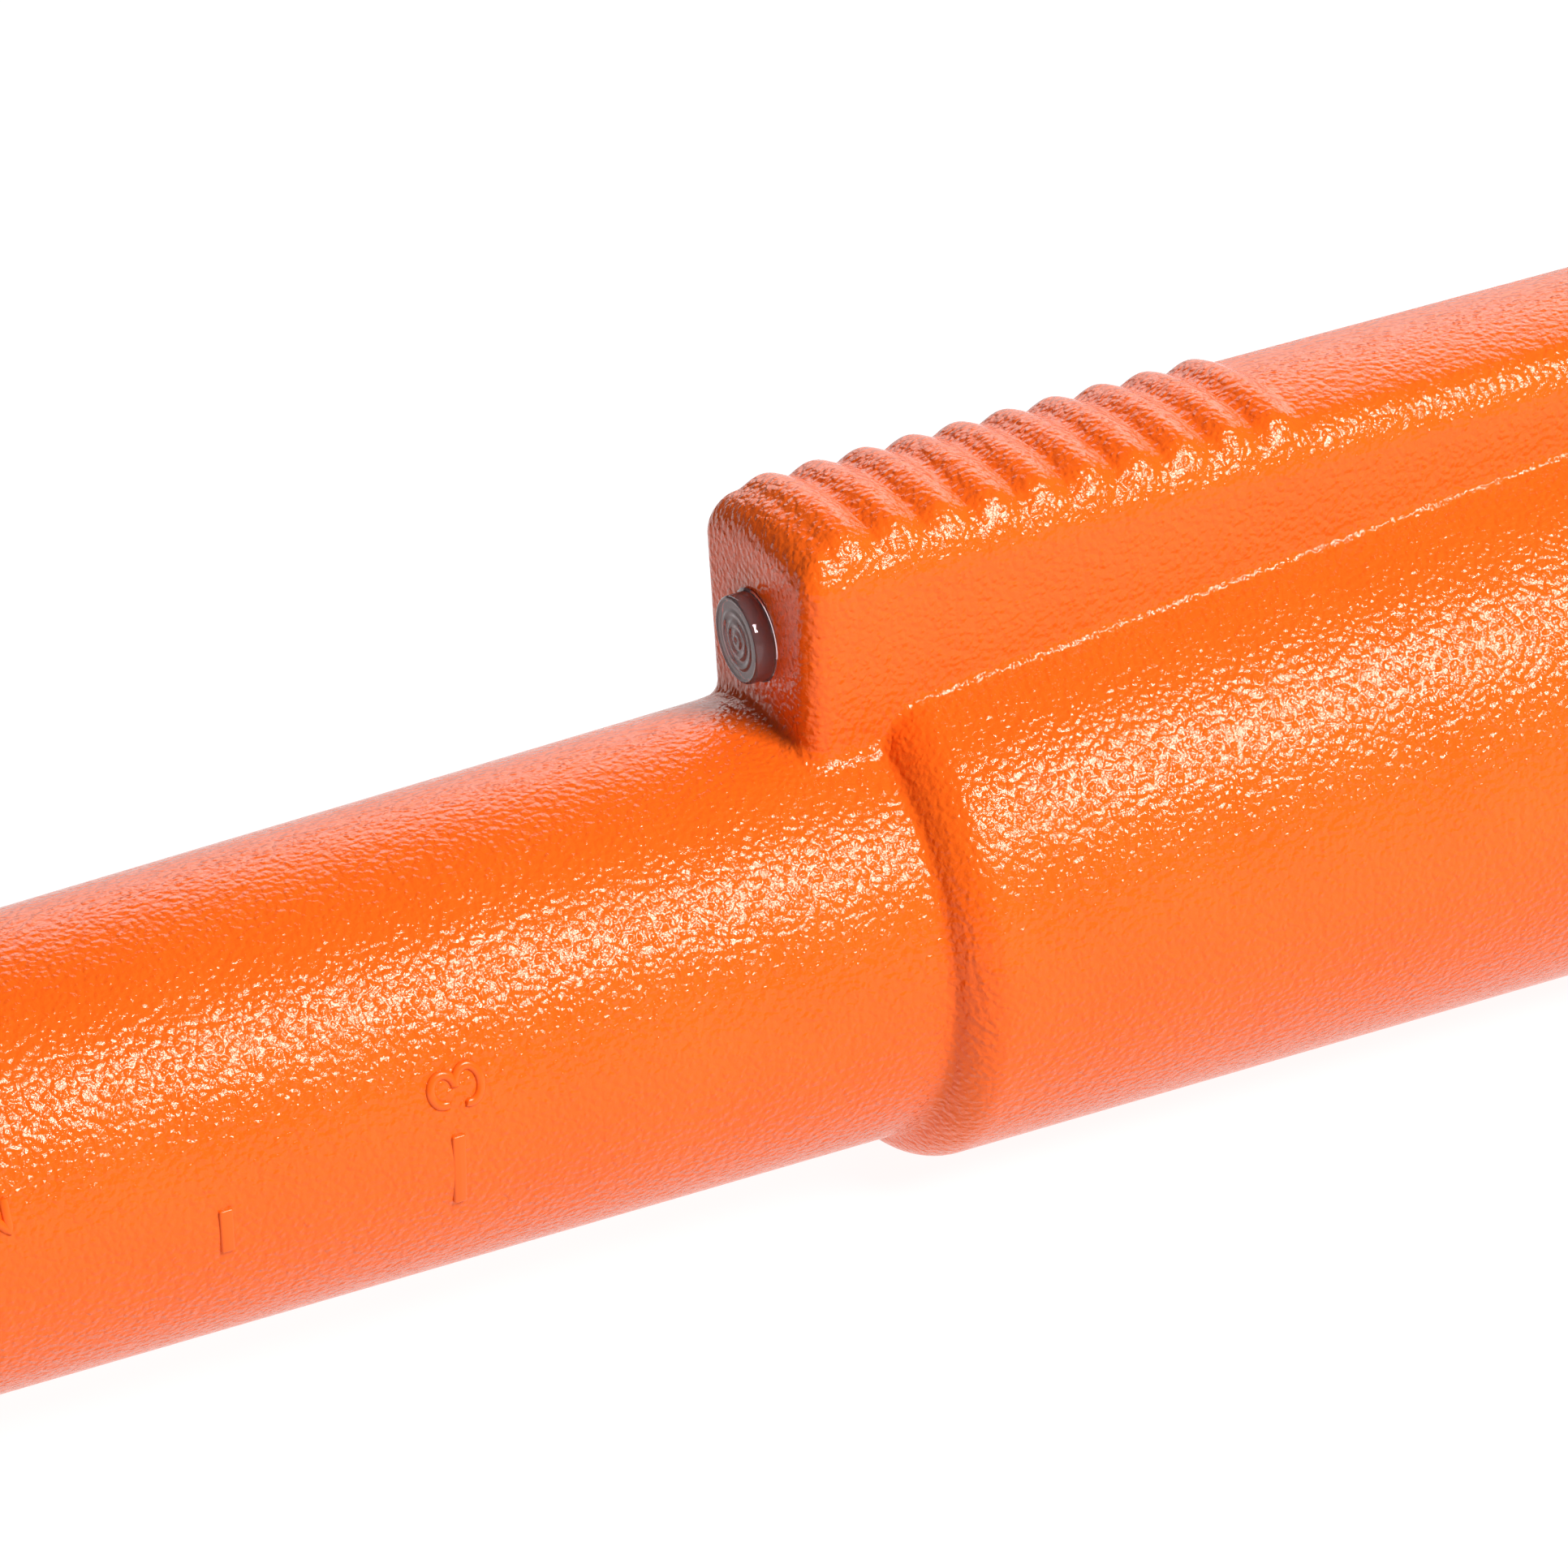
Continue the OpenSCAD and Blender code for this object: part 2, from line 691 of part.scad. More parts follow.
// Screw cap: fluted head, sleeve with a collar for its ring, and a lanyard eye
module battery_cap() {
    chamfer = 1.6;
    flute_r = 1.7;
    color("darkorange") place() difference() {
        along_grip() difference() {
            union() {
                rod(grip_tail_r, cap_face_x, cap_end_x - chamfer);
                taper(grip_tail_r, grip_tail_r - chamfer, cap_end_x - chamfer, cap_end_x);
                rod(sleeve_r, grip_len - sleeve_len, cap_face_x + 1);
                rod(collar_r, grip_len - collar_len, cap_face_x + 1);
                translate([eye_x, 0, 0]) rotate([90, 0, 0]) cylinder(r = eye_r, h = eye_t, center = true);
                block(cap_end_x - 1, eye_x, eye_t / 2, -eye_r, eye_r);
            }
            rod(sleeve_bore_r, grip_len - sleeve_len - 1, cap_inner_x);
            tube(collar_r + 1, collar_r - 2 * ring_r, grip_len - 3.4, grip_len - 2);
            for (i = [0:flutes - 1]) rotate([360 / flutes * (i + 0.5), 0, 0])
                translate([0, 0, grip_tail_r + flute_r - 0.7]) rod(flute_r, cap_face_x + 2.5, cap_end_x + 1);
            translate([eye_x, 0, 0]) rotate([90, 0, 0]) cylinder(r = lanyard_r, h = eye_t + 2, center = true);
        }
        under_belly();
    }
}

module cap_o_ring() {
    color("black") place() along_grip() translate([grip_len - 2.7, 0, 0]) rotate([0, 90, 0])
        rotate_extrude() translate([collar_r - ring_r + 0.05, 0]) circle(r = ring_r, $fn = 24);
}

housing();
led_lens();
lens_seal();
led();
power_button();
button_boot();
boot_frame();
switch_board();
switch_screws();
tact_switch();
switch_stem();
switch_wires();
tip_foam();
ferrite_rod();
coil_bobbin();
transmit_coil();
receive_coils();
coil_leads();
main_board();
chips();
capacitors();
board_screws();
board_carrier();
vibration_motor();
motor_shaft();
motor_weight();
bulkhead();
bulkhead_screws();
speaker();
speaker_gasket();
snap_connector();
battery_leads();
battery_jacket();
battery_cells();
battery_snaps();
pressure_pad();
battery_cap();
cap_o_ring();
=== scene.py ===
"""Looks of a handheld metal-detecting pinpointer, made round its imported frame.

Shapes are worked out in the design frame, in millimetres: x runs back from the probe's tip, y across,
and z up from the probe's axis. to_row() takes them to the frame's own place, in metres.
"""

import json
import math
from types import SimpleNamespace

import bmesh
import bpy
import numpy as np
from mathutils import Matrix, Vector


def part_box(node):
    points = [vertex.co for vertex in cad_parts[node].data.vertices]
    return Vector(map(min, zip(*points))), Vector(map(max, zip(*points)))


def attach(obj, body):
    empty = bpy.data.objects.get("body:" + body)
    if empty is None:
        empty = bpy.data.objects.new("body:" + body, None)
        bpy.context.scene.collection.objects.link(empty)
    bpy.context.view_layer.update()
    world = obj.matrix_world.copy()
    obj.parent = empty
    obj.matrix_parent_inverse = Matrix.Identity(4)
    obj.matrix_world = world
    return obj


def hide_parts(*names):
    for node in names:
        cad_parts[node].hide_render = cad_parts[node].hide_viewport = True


bl_info = {
    "name": "Metal-detecting pinpointer",
    "version": (1, 0, 0),
    "blender": (4, 5, 0),
    "location": "View3D > Sidebar > Pinpointer",
    "description": "Builds the shell, cap, lens, button and finishes of a handheld pinpointer",
    "category": "Add Mesh",
}

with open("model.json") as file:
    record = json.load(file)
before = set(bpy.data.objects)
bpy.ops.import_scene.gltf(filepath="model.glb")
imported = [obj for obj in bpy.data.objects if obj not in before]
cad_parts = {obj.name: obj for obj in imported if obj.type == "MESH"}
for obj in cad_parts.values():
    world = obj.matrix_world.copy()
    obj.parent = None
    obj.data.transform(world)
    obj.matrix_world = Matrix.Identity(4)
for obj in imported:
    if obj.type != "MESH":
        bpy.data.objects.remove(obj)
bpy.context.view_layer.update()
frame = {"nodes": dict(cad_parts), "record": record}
TIP_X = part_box("housing")[0].x
INCH = 25.4


def length(name, description, millimetres):
    """A length property. It is given here in millimetres and kept in metres."""
    return bpy.props.FloatProperty(
        name=name, description=description, default=millimetres / 1000, min=0, unit="LENGTH", precision=5)


def angle(name, description, degrees):
    """An angle property, given here in degrees."""
    return bpy.props.FloatProperty(
        name=name, description=description, default=math.radians(degrees), subtype="ANGLE")


def factor(name, description, value):
    """A plain share from 0 to 1."""
    return bpy.props.FloatProperty(
        name=name, description=description, default=value, min=0, max=1, subtype="FACTOR")


def colour(name, description, value):
    """A colour property, in linear values."""
    return bpy.props.FloatVectorProperty(
        name=name, description=description, default=value, size=3, min=0, max=1, subtype="COLOR")


class PINPOINTER_PG_shell(bpy.types.PropertyGroup):
    """Sizes of the one-piece housing: probe, grip and their shared inside."""

    probe_len: length("Probe length", "From the tip to the step where the grip starts", 105)
    tip_r: length("Tip radius", "Radius of the probe behind its rounded tip", 10.9)
    root_r: length("Root radius", "Radius of the probe at the step", 12.55)
    tip_round: length("Tip rounding", "Radius of the rounded edge of the tip", 4)
    grip_len: length("Grip length", "Along the grip's own axis, from the step to its tail face", 100)
    grip_front_r: length("Grip front radius", "Radius of the grip at the step", 14.4)
    grip_tail_r: length("Grip tail radius", "Radius of the grip at its tail face", 19.6)
    grip_rise: length("Grip rise", "Height that the grip's axis climbs over its length", 4.01)
    step_ahead: length("Step ahead", "How far the face of the step stands ahead of the grip's origin", 0.9)
    step_lean: angle("Step lean", "Angle by which the face of the step leans", 1.5)
    shoulder: length("Shoulder", "Radius of the rounded edge of the step", 2.7)
    belly_drop: length("Belly drop", "Distance of the flat belly below the probe's axis", 14.55)
    wall: length("Wall", "Wall of the grip", 2)
    nose_wall: length("Nose wall", "Thickness of the probe's closed end", 2.4)
    bore_r: length("Probe bore", "Radius of the bore for the coil set", 8.6)
    small_round: length("Small rounding", "Radius of the moulding's small edges and creases", 0.4)


class PINPOINTER_PG_spine(bpy.types.PropertyGroup):
    """Sizes of the raised spine along the grip, with its thumb ribs."""

    ahead: length("Length ahead", "Length of the spine ahead of the step", 4.5)
    top: length("Top", "Height of the crown over the probe's axis", 23.5)
    foot_w: length("Foot half width", "Half width where the spine leaves the probe", 5.65)
    foot_z: length("Foot height", "Height at which the foot's width is measured", 11)
    flare: factor("Flare", "Outward slope of the flanks", 0.06)
    front_slope: factor("Front slope", "Backward slope of the front face", 0.041)
    edge_round: length("Top edge", "Radius of the long top edges", 2.2)
    corner_round: length("Corner", "Radius of the upright front corners", 1.3)
    crown_r: length("Crown radius", "Radius of the crown across the spine", 16)
    foot_fillet: length("Foot fillet", "Radius of the crease between spine and probe", 0.8)
    ribs: bpy.props.IntProperty(name="Ribs", description="Number of thumb ribs", default=10, min=0)
    rib_start: length("First rib", "Distance of the first rib's crest behind the front face", 3.3)
    rib_pitch: length("Rib pitch", "Distance from one rib to the next", 2.84)
    rib_h: length("Rib height", "Height of a rib over the crown", 0.52)
    rib_end: length("Rib end", "Distance from the middle at which a rib starts to fade out", 4.5)
    rib_fade: length("Rib fade", "Width over which a rib fades out", 1.9)


class PINPOINTER_PG_fittings(bpy.types.PropertyGroup):
    """Sizes of the lens, the button and the screw cap."""

    lens_r: length("Lens radius", "Radius of the clear lens", 2.4)
    lens_z: length("Lens height", "Height of the lens over the probe's axis", 16.65)
    lens_proud: length("Lens proud", "How far the lens stands out of the spine's front", 1.15)
    fit_gap: length("Fit gap", "Clearance beside still pieces", 0.1)
    button_x: length("Button place", "Distance of the button's middle from the tip", 163.3)
    button_len: length("Button length", "Length of the power button", 14.9)
    button_w: length("Button width", "Width of the power button", 5.8)
    button_proud: length("Button proud", "Height of the button over the crown", 0.8)
    button_gap: length("Button gap", "Clearance round the button", 0.15)
    cap_gap: length("Cap gap", "Width of the seam between the grip and the cap", 0.4)
    cap_len: length("Cap length", "Length of the cap's head", 19.4)
    cap_end_wall: length("Cap end wall", "Thickness of the cap's end", 2.2)
    sleeve_len: length("Sleeve length", "Length of the cap's sleeve inside the grip", 10)
    collar_len: length("Collar length", "Length of the collar that holds the ring", 4.5)
    chamfer: length("Cap edge", "Radius of the rounded edge of the cap's end", 1.6)
    flutes: bpy.props.IntProperty(name="Flutes", description="Number of finger flutes", default=18, min=3)
    flute_r: length("Flute radius", "Radius of a finger flute", 1.7)
    flute_depth: length("Flute depth", "Depth of a finger flute", 0.7)
    eye_hole_r: length("Lanyard hole", "Radius of the lanyard hole", 2.2)
    eye_rim: length("Eye rim", "Width of the material round the lanyard hole", 2.4)
    eye_t: length("Eye thickness", "Thickness of the lanyard eye", 6)


class PINPOINTER_PG_finish(bpy.types.PropertyGroup):
    """Colours of the shell and the small parts, and the shell's grain."""

    shell: colour("Shell", "Colour of the moulded shell", (0.9, 0.12, 0.0075))
    rubber: colour("Rubber", "Colour of the seals and the button", (0.02, 0.02, 0.022))
    nylon: colour("Nylon", "Colour of the inside mouldings", (0.72, 0.71, 0.66))
    board: colour("Board", "Colour of the circuit boards", (0.012, 0.11, 0.035))
    copper: colour("Copper", "Colour of the enamelled windings", (0.55, 0.19, 0.06))
    floor: colour("Floor", "Colour of the floor", (0.1, 0.1, 0.1))
    shell_rough: factor("Shell roughness", "Roughness of the moulded shell", 0.15)
    grain: length("Grain", "Size of one cell of the shell's grain", 0.38)
    grain_depth: length("Grain depth", "Depth of the shell's grain", 0.09)


class PINPOINTER_PG_stage(bpy.types.PropertyGroup):
    """The lights' strengths and the camera's lens."""

    key: bpy.props.FloatProperty(name="Key", description="Power of the main light", default=8, unit="POWER")
    back: bpy.props.FloatProperty(name="Back", description="Power of the rear light", default=4, unit="POWER")
    sky: bpy.props.FloatProperty(name="Sky", description="Strength of the light all round", default=0.08)
    floor_glow: factor("Floor glow", "Light given off by the pale floor", 0.93)
    focal: bpy.props.FloatProperty(name="Focal length", description="Camera lens, in mm", default=168.62)


def in_mm(group):
    """A group's sizes as plain attributes, its lengths in millimetres."""
    sizes = {}
    for key, prop in group.bl_rna.properties.items():
        if prop.type in {"FLOAT", "INT"} and not prop.is_array:
            value = getattr(group, key)
            sizes[key] = value * 1000 if prop.unit == "LENGTH" else value
    return SimpleNamespace(**sizes)


def shell_sizes():
    """The housing's sizes with what follows from them: the grip's slant and growth, and the radii of the cap's sleeve
    and collar.
    """
    s = in_mm(bpy.context.scene.pinpointer_shell)
    s.tilt = math.asin(s.grip_rise / s.grip_len)
    s.grip_grow = (s.grip_tail_r - s.grip_front_r) / s.grip_len
    sleeve_inset, collar_step = 2, 0.4
    s.sleeve_r = s.grip_tail_r - sleeve_inset
    s.collar_r = s.sleeve_r + collar_step
    return s


def spine_sizes():
    """The spine's sizes with the places of its front face and of the channel inside it."""
    roof, front_wall = 2.5, 2.2
    p = in_mm(bpy.context.scene.pinpointer_spine)
    p.front_x = shell_sizes().probe_len - p.ahead
    p.roof_z = p.top - roof
    p.channel_x = p.front_x + front_wall
    return p


def to_row(points):
    """Design points in millimetres, moved to the frame's place in metres."""
    drop = bpy.context.scene.pinpointer_shell.belly_drop
    return np.asarray(points) / 1000 + (TIP_X, 0, drop)


def from_grip(s, u, y, w):
    """Points of the grip's own frame (u along its axis, w up from it) in the design frame."""
    x = s.probe_len + u * math.cos(s.tilt) - w * math.sin(s.tilt)
    z = u * math.sin(s.tilt) + w * math.cos(s.tilt)
    return np.stack(np.broadcast_arrays(x, y, z), -1)


# Rounded solids as fields: below zero inside, and their value near the surface is the distance to it


def meet(a, b, r):
    """What lies in both solids. Their shared edge is an arc: the length of the two overshoots less r."""
    return np.minimum(np.maximum(a, b), -r) + np.hypot(np.maximum(a + r, 0), np.maximum(b + r, 0))


def join(a, b, r):
    """What lies in either solid, with the crease between them filled by an arc of radius r."""
    return np.maximum(np.minimum(a, b), r) - np.hypot(np.maximum(r - a, 0), np.maximum(r - b, 0))


def ease(t):
    """Smooth step from 0 to 1: three times t squared less twice t cubed."""
    t = np.clip(t, 0, 1)
    return t * t * (3 - 2 * t)


def rib_height(p, x, y):
    """Height of the thumb ribs: the size of a cosine of the place along the spine, softened in the
    valleys, nothing before the first rib and after the last, fading out towards the long edges."""
    along = (x - p.front_x - p.rib_start) / p.rib_pitch
    soft = 0.2
    wave = np.hypot(np.cos(np.pi * along), soft) - soft
    inside = (along > -0.5) & (along < p.ribs - 0.5)
    fade = 1 - ease((np.abs(y) - p.rib_end) / p.rib_fade)
    return np.where(inside, p.rib_h * wave / (math.hypot(1, soft) - soft) * fade, 0)


def housing_field(s, p, x, y, z):
    """Outside of the housing. The probe is a slim cone with a rounded tip. The grip is a cone on a
    rising axis behind a leaning step. The spine is a slab with flaring flanks, a sloped front and a
    crowned, ribbed top. They are joined, then cut by the belly plane and the tail face."""
    probe = np.hypot(y, z) - s.tip_r - (s.root_r - s.tip_r) * x / s.probe_len
    probe = meet(probe, -x, s.tip_round)
    u = (x - s.probe_len) * math.cos(s.tilt) + z * math.sin(s.tilt)
    w = z * math.cos(s.tilt) - (x - s.probe_len) * math.sin(s.tilt)
    step = (s.probe_len - s.step_ahead - x) * math.cos(s.step_lean) + z * math.sin(s.step_lean)
    grip = meet(np.hypot(y, w) - s.grip_front_r - s.grip_grow * u, step, s.shoulder)
    flank = np.abs(y) - p.foot_w - p.flare * (z - p.foot_z)
    front_z = 16.65  # the height at which the front's place is measured
    front = p.front_x + p.front_slope * (z - front_z) - x
    crown = z - p.top + y * y / (2 * p.crown_r) - rib_height(p, x, y)
    spine = meet(meet(flank, front, p.corner_round), crown, p.edge_round)
    spine = np.maximum(spine, -z)
    body = join(join(probe, spine, p.foot_fillet), grip, s.small_round)
    body = meet(body, -s.belly_drop - z, s.small_round)
    return meet(body, u - s.grip_len, s.small_round)


def cast(field, start_x, start_z, slant, turn, reach=60.0):
    """Where rays from inside leave a field. Column i starts on the middle plane at (start_x, start_z)
    and leans forward by slant. Row j is turned by the angle turn. Each ray's length is found by
    halving, all rays at once."""
    start_x, start_z, slant = (np.asarray(a, float)[:, None] for a in (start_x, start_z, slant))
    ahead = np.broadcast_to(-np.sin(slant), (len(start_x), len(turn)))
    side = np.cos(slant) * np.cos(turn)
    up = np.cos(slant) * np.sin(turn)
    near, far = np.zeros_like(side), np.full_like(side, reach)
    for _ in range(36):
        middle = (near + far) / 2
        inside = field(start_x + ahead * middle, side * middle, start_z + up * middle) < 0
        near, far = np.where(inside, middle, near), np.where(inside, far, middle)
    return np.stack([start_x + ahead * near, side * near, start_z + up * near], -1)


def spread(*stretches):
    """Values along several stretches, each given as (from, to, step) and cut into whole parts."""
    parts = [np.linspace(a, b, max(1, round(abs(b - a) / step)), endpoint=False) for a, b, step in stretches]
    return np.concatenate(parts + [[stretches[-1][1]]])


def lay_mesh(name, grids, sharp=32.0):
    """One mesh object from grids of row-frame points, columns by rows. A grid's rows run round and
    close. A column whose points fall together is a pole. Each grid is turned to face outwards by the
    sign of its volume, then coinciding points are merged."""
    points, faces, first = [], [], 0
    for grid in grids:
        columns, rows = grid.shape[:2]
        i, j = np.meshgrid(np.arange(columns - 1), np.arange(rows), indexing="ij")
        k = (j + 1) % rows
        quads = np.stack([i * rows + j, i * rows + k, (i + 1) * rows + k, (i + 1) * rows + j], -1).reshape(-1, 4)
        flat = grid.reshape(-1, 3)
        a, b, c, d = (flat[quads[:, n]] for n in range(4))
        volume = np.sum(a * np.cross(b, c)) + np.sum(a * np.cross(c, d))
        faces.append((quads if volume > 0 else quads[:, ::-1]) + first)
        points.append(flat)
        first += len(flat)
    mesh = bpy.data.meshes.new(name)
    mesh.from_pydata(np.concatenate(points), [], np.concatenate(faces))
    work = bmesh.new()
    work.from_mesh(mesh)
    bmesh.ops.remove_doubles(work, verts=work.verts, dist=2e-7)
    work.to_mesh(mesh)
    work.free()
    piece = bpy.data.objects.new(name, mesh)
    bpy.context.scene.collection.objects.link(piece)
    soften(mesh, sharp)
    return piece


def soften(mesh, sharp):
    """Smooth shading, with edges sharper than the given degrees kept crisp."""
    mesh.polygons.foreach_set("use_smooth", np.ones(len(mesh.polygons), bool))
    mesh.set_sharp_from_angle(angle=math.radians(sharp))


def outline(half_x, half_y, radius, steps=10):
    """Closed outline of a rectangle with round corners: four quarter arcs, each about the centre of
    its own corner. A radius of half the width makes a slot, and equal halves a circle."""
    quarter = np.linspace(0, np.pi / 2, steps + 1)
    turn = (quarter + np.arange(4)[:, None] * np.pi / 2).ravel()
    sign_x = np.repeat([1, -1, -1, 1], steps + 1)
    sign_y = np.repeat([1, 1, -1, -1], steps + 1)
    x = sign_x * (half_x - radius) + radius * np.cos(turn)
    y = sign_y * (half_y - radius) + radius * np.sin(turn)
    return x, y


def pillar(middle, half_x, half_y, radius, insets, heights):
    """Closed upright solid: at each height the round-cornered outline, drawn in by that inset."""
    columns = []
    for inset, height in zip(insets, heights):
        x, y = outline(max(half_x - inset, 0), max(half_y - inset, 0), max(radius - inset, 0))
        columns.append(np.stack([x + middle[0], y + middle[1], np.full_like(x, height)], -1))
    return to_row(np.array(columns))


def turned(axis_x, axis_z, places, radii, rows=72):
    """Solid turned about a line along x: radii at places along the line."""
    turn = np.linspace(0, 2 * np.pi, rows, endpoint=False)
    x = np.broadcast_to((axis_x + np.asarray(places, float))[:, None], (len(places), rows))
    r = np.asarray(radii, float)[:, None]
    return to_row(np.stack([x, r * np.cos(turn), axis_z + r * np.sin(turn)], -1))


def cut(piece, grids):
    """Cuts solids out of a piece with a Boolean modifier, which is applied at once."""
    tool = lay_mesh("cutter", grids)
    carve = piece.modifiers.new("cut", "BOOLEAN")
    carve.operation = "DIFFERENCE"
    carve.solver = "MANIFOLD"
    carve.object = tool
    carved = bpy.data.meshes.new_from_object(piece.evaluated_get(bpy.context.evaluated_depsgraph_get()))
    piece.modifiers.clear()
    old, piece.data = piece.data, carved
    carved.name = old.name
    bpy.data.meshes.remove(old)
    bpy.data.objects.remove(tool)
    soften(carved, 32)


# Pieces


def shell_turns():
    """Turns of the rows round the shell, closest where the spine's flanks and top edges are seen."""
    right = spread((-90, -66, 1.5), (-66, 58, 2.4), (58, 62, 1), (62, 73, 0.4), (73, 82, 0.4), (82, 90, 0.8))
    half = right[1:-1]
    return np.radians(np.concatenate([right, (180 - half)[::-1]]))


def shell_skin(s, p, turn):
    """Outer skin of the housing, one cast of rays: from the tip's pole back along the probe, leaning
    forward at the spine so that its front and the step are met, then leaning back over the tail."""
    nose = np.radians(spread((90, 60, 10), (60, 36, 1.6), (36, 2, 6)))
    nose_x, lean, lean_run = 12, 0.84, 24
    back_lean, back_run, tail_skin = 0.7, 9, 18.35
    hold_from, hold_to, upright = p.front_x + 11, s.probe_len + 16, s.probe_len + 60
    tail_from = s.probe_len + s.grip_len - 24
    fine = np.linspace(tail_from - 200, s.probe_len + s.grip_len, 4000)
    tangent = lean * (ease((fine - hold_from + lean_run) / lean_run) - ease((fine - hold_to) / (upright - hold_to)))
    tail_lean = back_lean * ease((fine - tail_from) / back_run)
    crown_hits = fine - p.top * tangent
    rib_from = p.front_x + 0.6
    rib_to = p.front_x + p.rib_start + p.ribs * p.rib_pitch
    by_crown = np.interp(spread((rib_from, rib_to, 0.225), (rib_to, tail_from - 2, 2.1)), crown_hits, fine)
    tail_end = s.probe_len + s.grip_len - tail_skin * back_lean - 0.3
    start = np.concatenate([
        spread((nose_x, hold_from - lean_run, 2.2), (hold_from - lean_run, hold_from - 1, 1),
               (hold_from - 1, s.probe_len + 10, 0.34), (s.probe_len + 10, by_crown[0], 0.17))[:-1],
        by_crown,
        spread((tail_from, tail_end - 1.6, 0.9), (tail_end - 1.6, tail_end, 0.12))])
    slant = np.arctan(np.interp(start, fine, tangent) - np.interp(start, fine, tail_lean))
    start_x = np.concatenate([np.full(len(nose), float(nose_x)), start])
    slant = np.concatenate([nose, slant])
    rise = math.tan(s.tilt) * np.maximum(start_x - s.probe_len, 0) * ease((start_x - s.probe_len - 35) / 40)
    return cast(lambda x, y, z: housing_field(s, p, x, y, z), start_x, rise, slant, turn)


def shell_inside(s, turn):
    """Inside of the housing as rings: the seats of the cap's collar and sleeve, the grip's hollow one
    wall in from its skin, and the probe's bore to its closed end."""
    face, sleeve_end = s.grip_len, s.grip_len - 11
    seat_r, sleeve_bore = s.collar_r + 0.1, s.sleeve_r + 0.1
    rings = [(face, seat_r), (face - 4.9, seat_r), (face - 4.9, sleeve_bore), (sleeve_end, sleeve_bore)]
    rings += [(u, s.grip_front_r + s.grip_grow * u - s.wall) for u in (sleeve_end, 60, 30, 3)]
    grip = [from_grip(s, u, r * np.cos(turn), r * np.sin(turn)) for u, r in rings]
    bore = [(s.probe_len + 4, s.bore_r), (60, s.bore_r), (s.nose_wall, s.bore_r), (s.nose_wall, 0)]
    probe = [np.stack([np.full_like(turn, x), r * np.cos(turn), r * np.sin(turn)], -1) for x, r in bore]
    return np.array(grip + probe)


class PINPOINTER_OT_housing(bpy.types.Operator):
    """Build the one-piece housing with its spine, ribs, bores, slot and sound holes"""

    bl_idname = "pinpointer.housing"
    bl_label = "Housing"

    def execute(self, context):
        s, p, f = shell_sizes(), spine_sizes(), in_mm(context.scene.pinpointer_fittings)
        turn = shell_turns()
        skin = np.concatenate([shell_skin(s, p, turn), shell_inside(s, turn)])
        housing = lay_mesh("shell_housing", [to_row(skin)])
        half_w, floor_z, behind_button = 3.9, 8, 14
        channel_half = (f.button_x + behind_button - p.channel_x) / 2
        channel = pillar((p.channel_x + channel_half, 0), channel_half, half_w, 0.4,
                         (half_w, 0, 0, half_w), (floor_z, floor_z, p.roof_z, p.roof_z))
        lens_hole = turned(0, f.lens_z, (p.front_x - 3, p.front_x - 3, p.channel_x + 1, p.channel_x + 1),
                           (0, f.lens_r + f.fit_gap, f.lens_r + f.fit_gap, 0))
        slot_x, slot_y = f.button_len / 2 + f.button_gap, f.button_w / 2 + f.button_gap
        slot = pillar((f.button_x, 0), slot_x, slot_y, slot_y, (slot_y, 0, 0, -0.35, -0.35, slot_y),
                      (p.roof_z - 1, p.roof_z - 1, p.top - 0.3, p.top + 0.05, p.top + 2, p.top + 2))
        sound_x = s.probe_len + s.grip_len - 19.8
        hole_r, ring_r, low, high = 0.6, 2.3, 16, 26
        ring = [(ring_r * math.cos(math.radians(a)), ring_r * math.sin(math.radians(a))) for a in range(0, 360, 60)]
        sound = [pillar((sound_x + x, y), hole_r, hole_r, hole_r, (hole_r, 0, 0, hole_r), (low, low, high, high))
                 for x, y in [(0, 0)] + ring]
        for tools in ([channel], [lens_hole], [slot, *sound]):
            cut(housing, tools)
        wear(housing, shell_finish(), "root", "orange_shell", "housing")
        return {"FINISHED"}


def ribbon(s, path_x, path_turn, half_width, height):
    """Raised line on the probe's skin: a half-oval section carried along a path that is given as
    places along the probe and heights round it, both in millimetres on the skin. The ends are round:
    the section shrinks as a circle does."""
    step_x, step_y = np.gradient(path_x), np.gradient(path_turn)
    size = np.hypot(step_x, step_y)
    run = np.concatenate([[0], np.cumsum(np.hypot(np.diff(path_x), np.diff(path_turn)))])
    from_end = np.clip(np.minimum(run, run[-1] - run), 0, half_width)
    width = np.sqrt(np.maximum(half_width**2 - (half_width - from_end) ** 2, 0))[:, None]
    around = np.linspace(0, 2 * np.pi, 16, endpoint=False)
    off = width * np.cos(around)
    lift = np.where(np.sin(around) > 0, height, 0.25) * np.sin(around) * np.minimum(width / half_width * 1.5, 1)
    x = path_x[:, None] - off * (step_y / size)[:, None]
    arc = path_turn[:, None] + off * (step_x / size)[:, None]
    r = s.tip_r + (s.root_r - s.tip_r) * x / s.probe_len
    turn = arc / r
    return to_row(np.stack([x, -(r + lift) * np.cos(turn), (r + lift) * np.sin(turn)], -1))


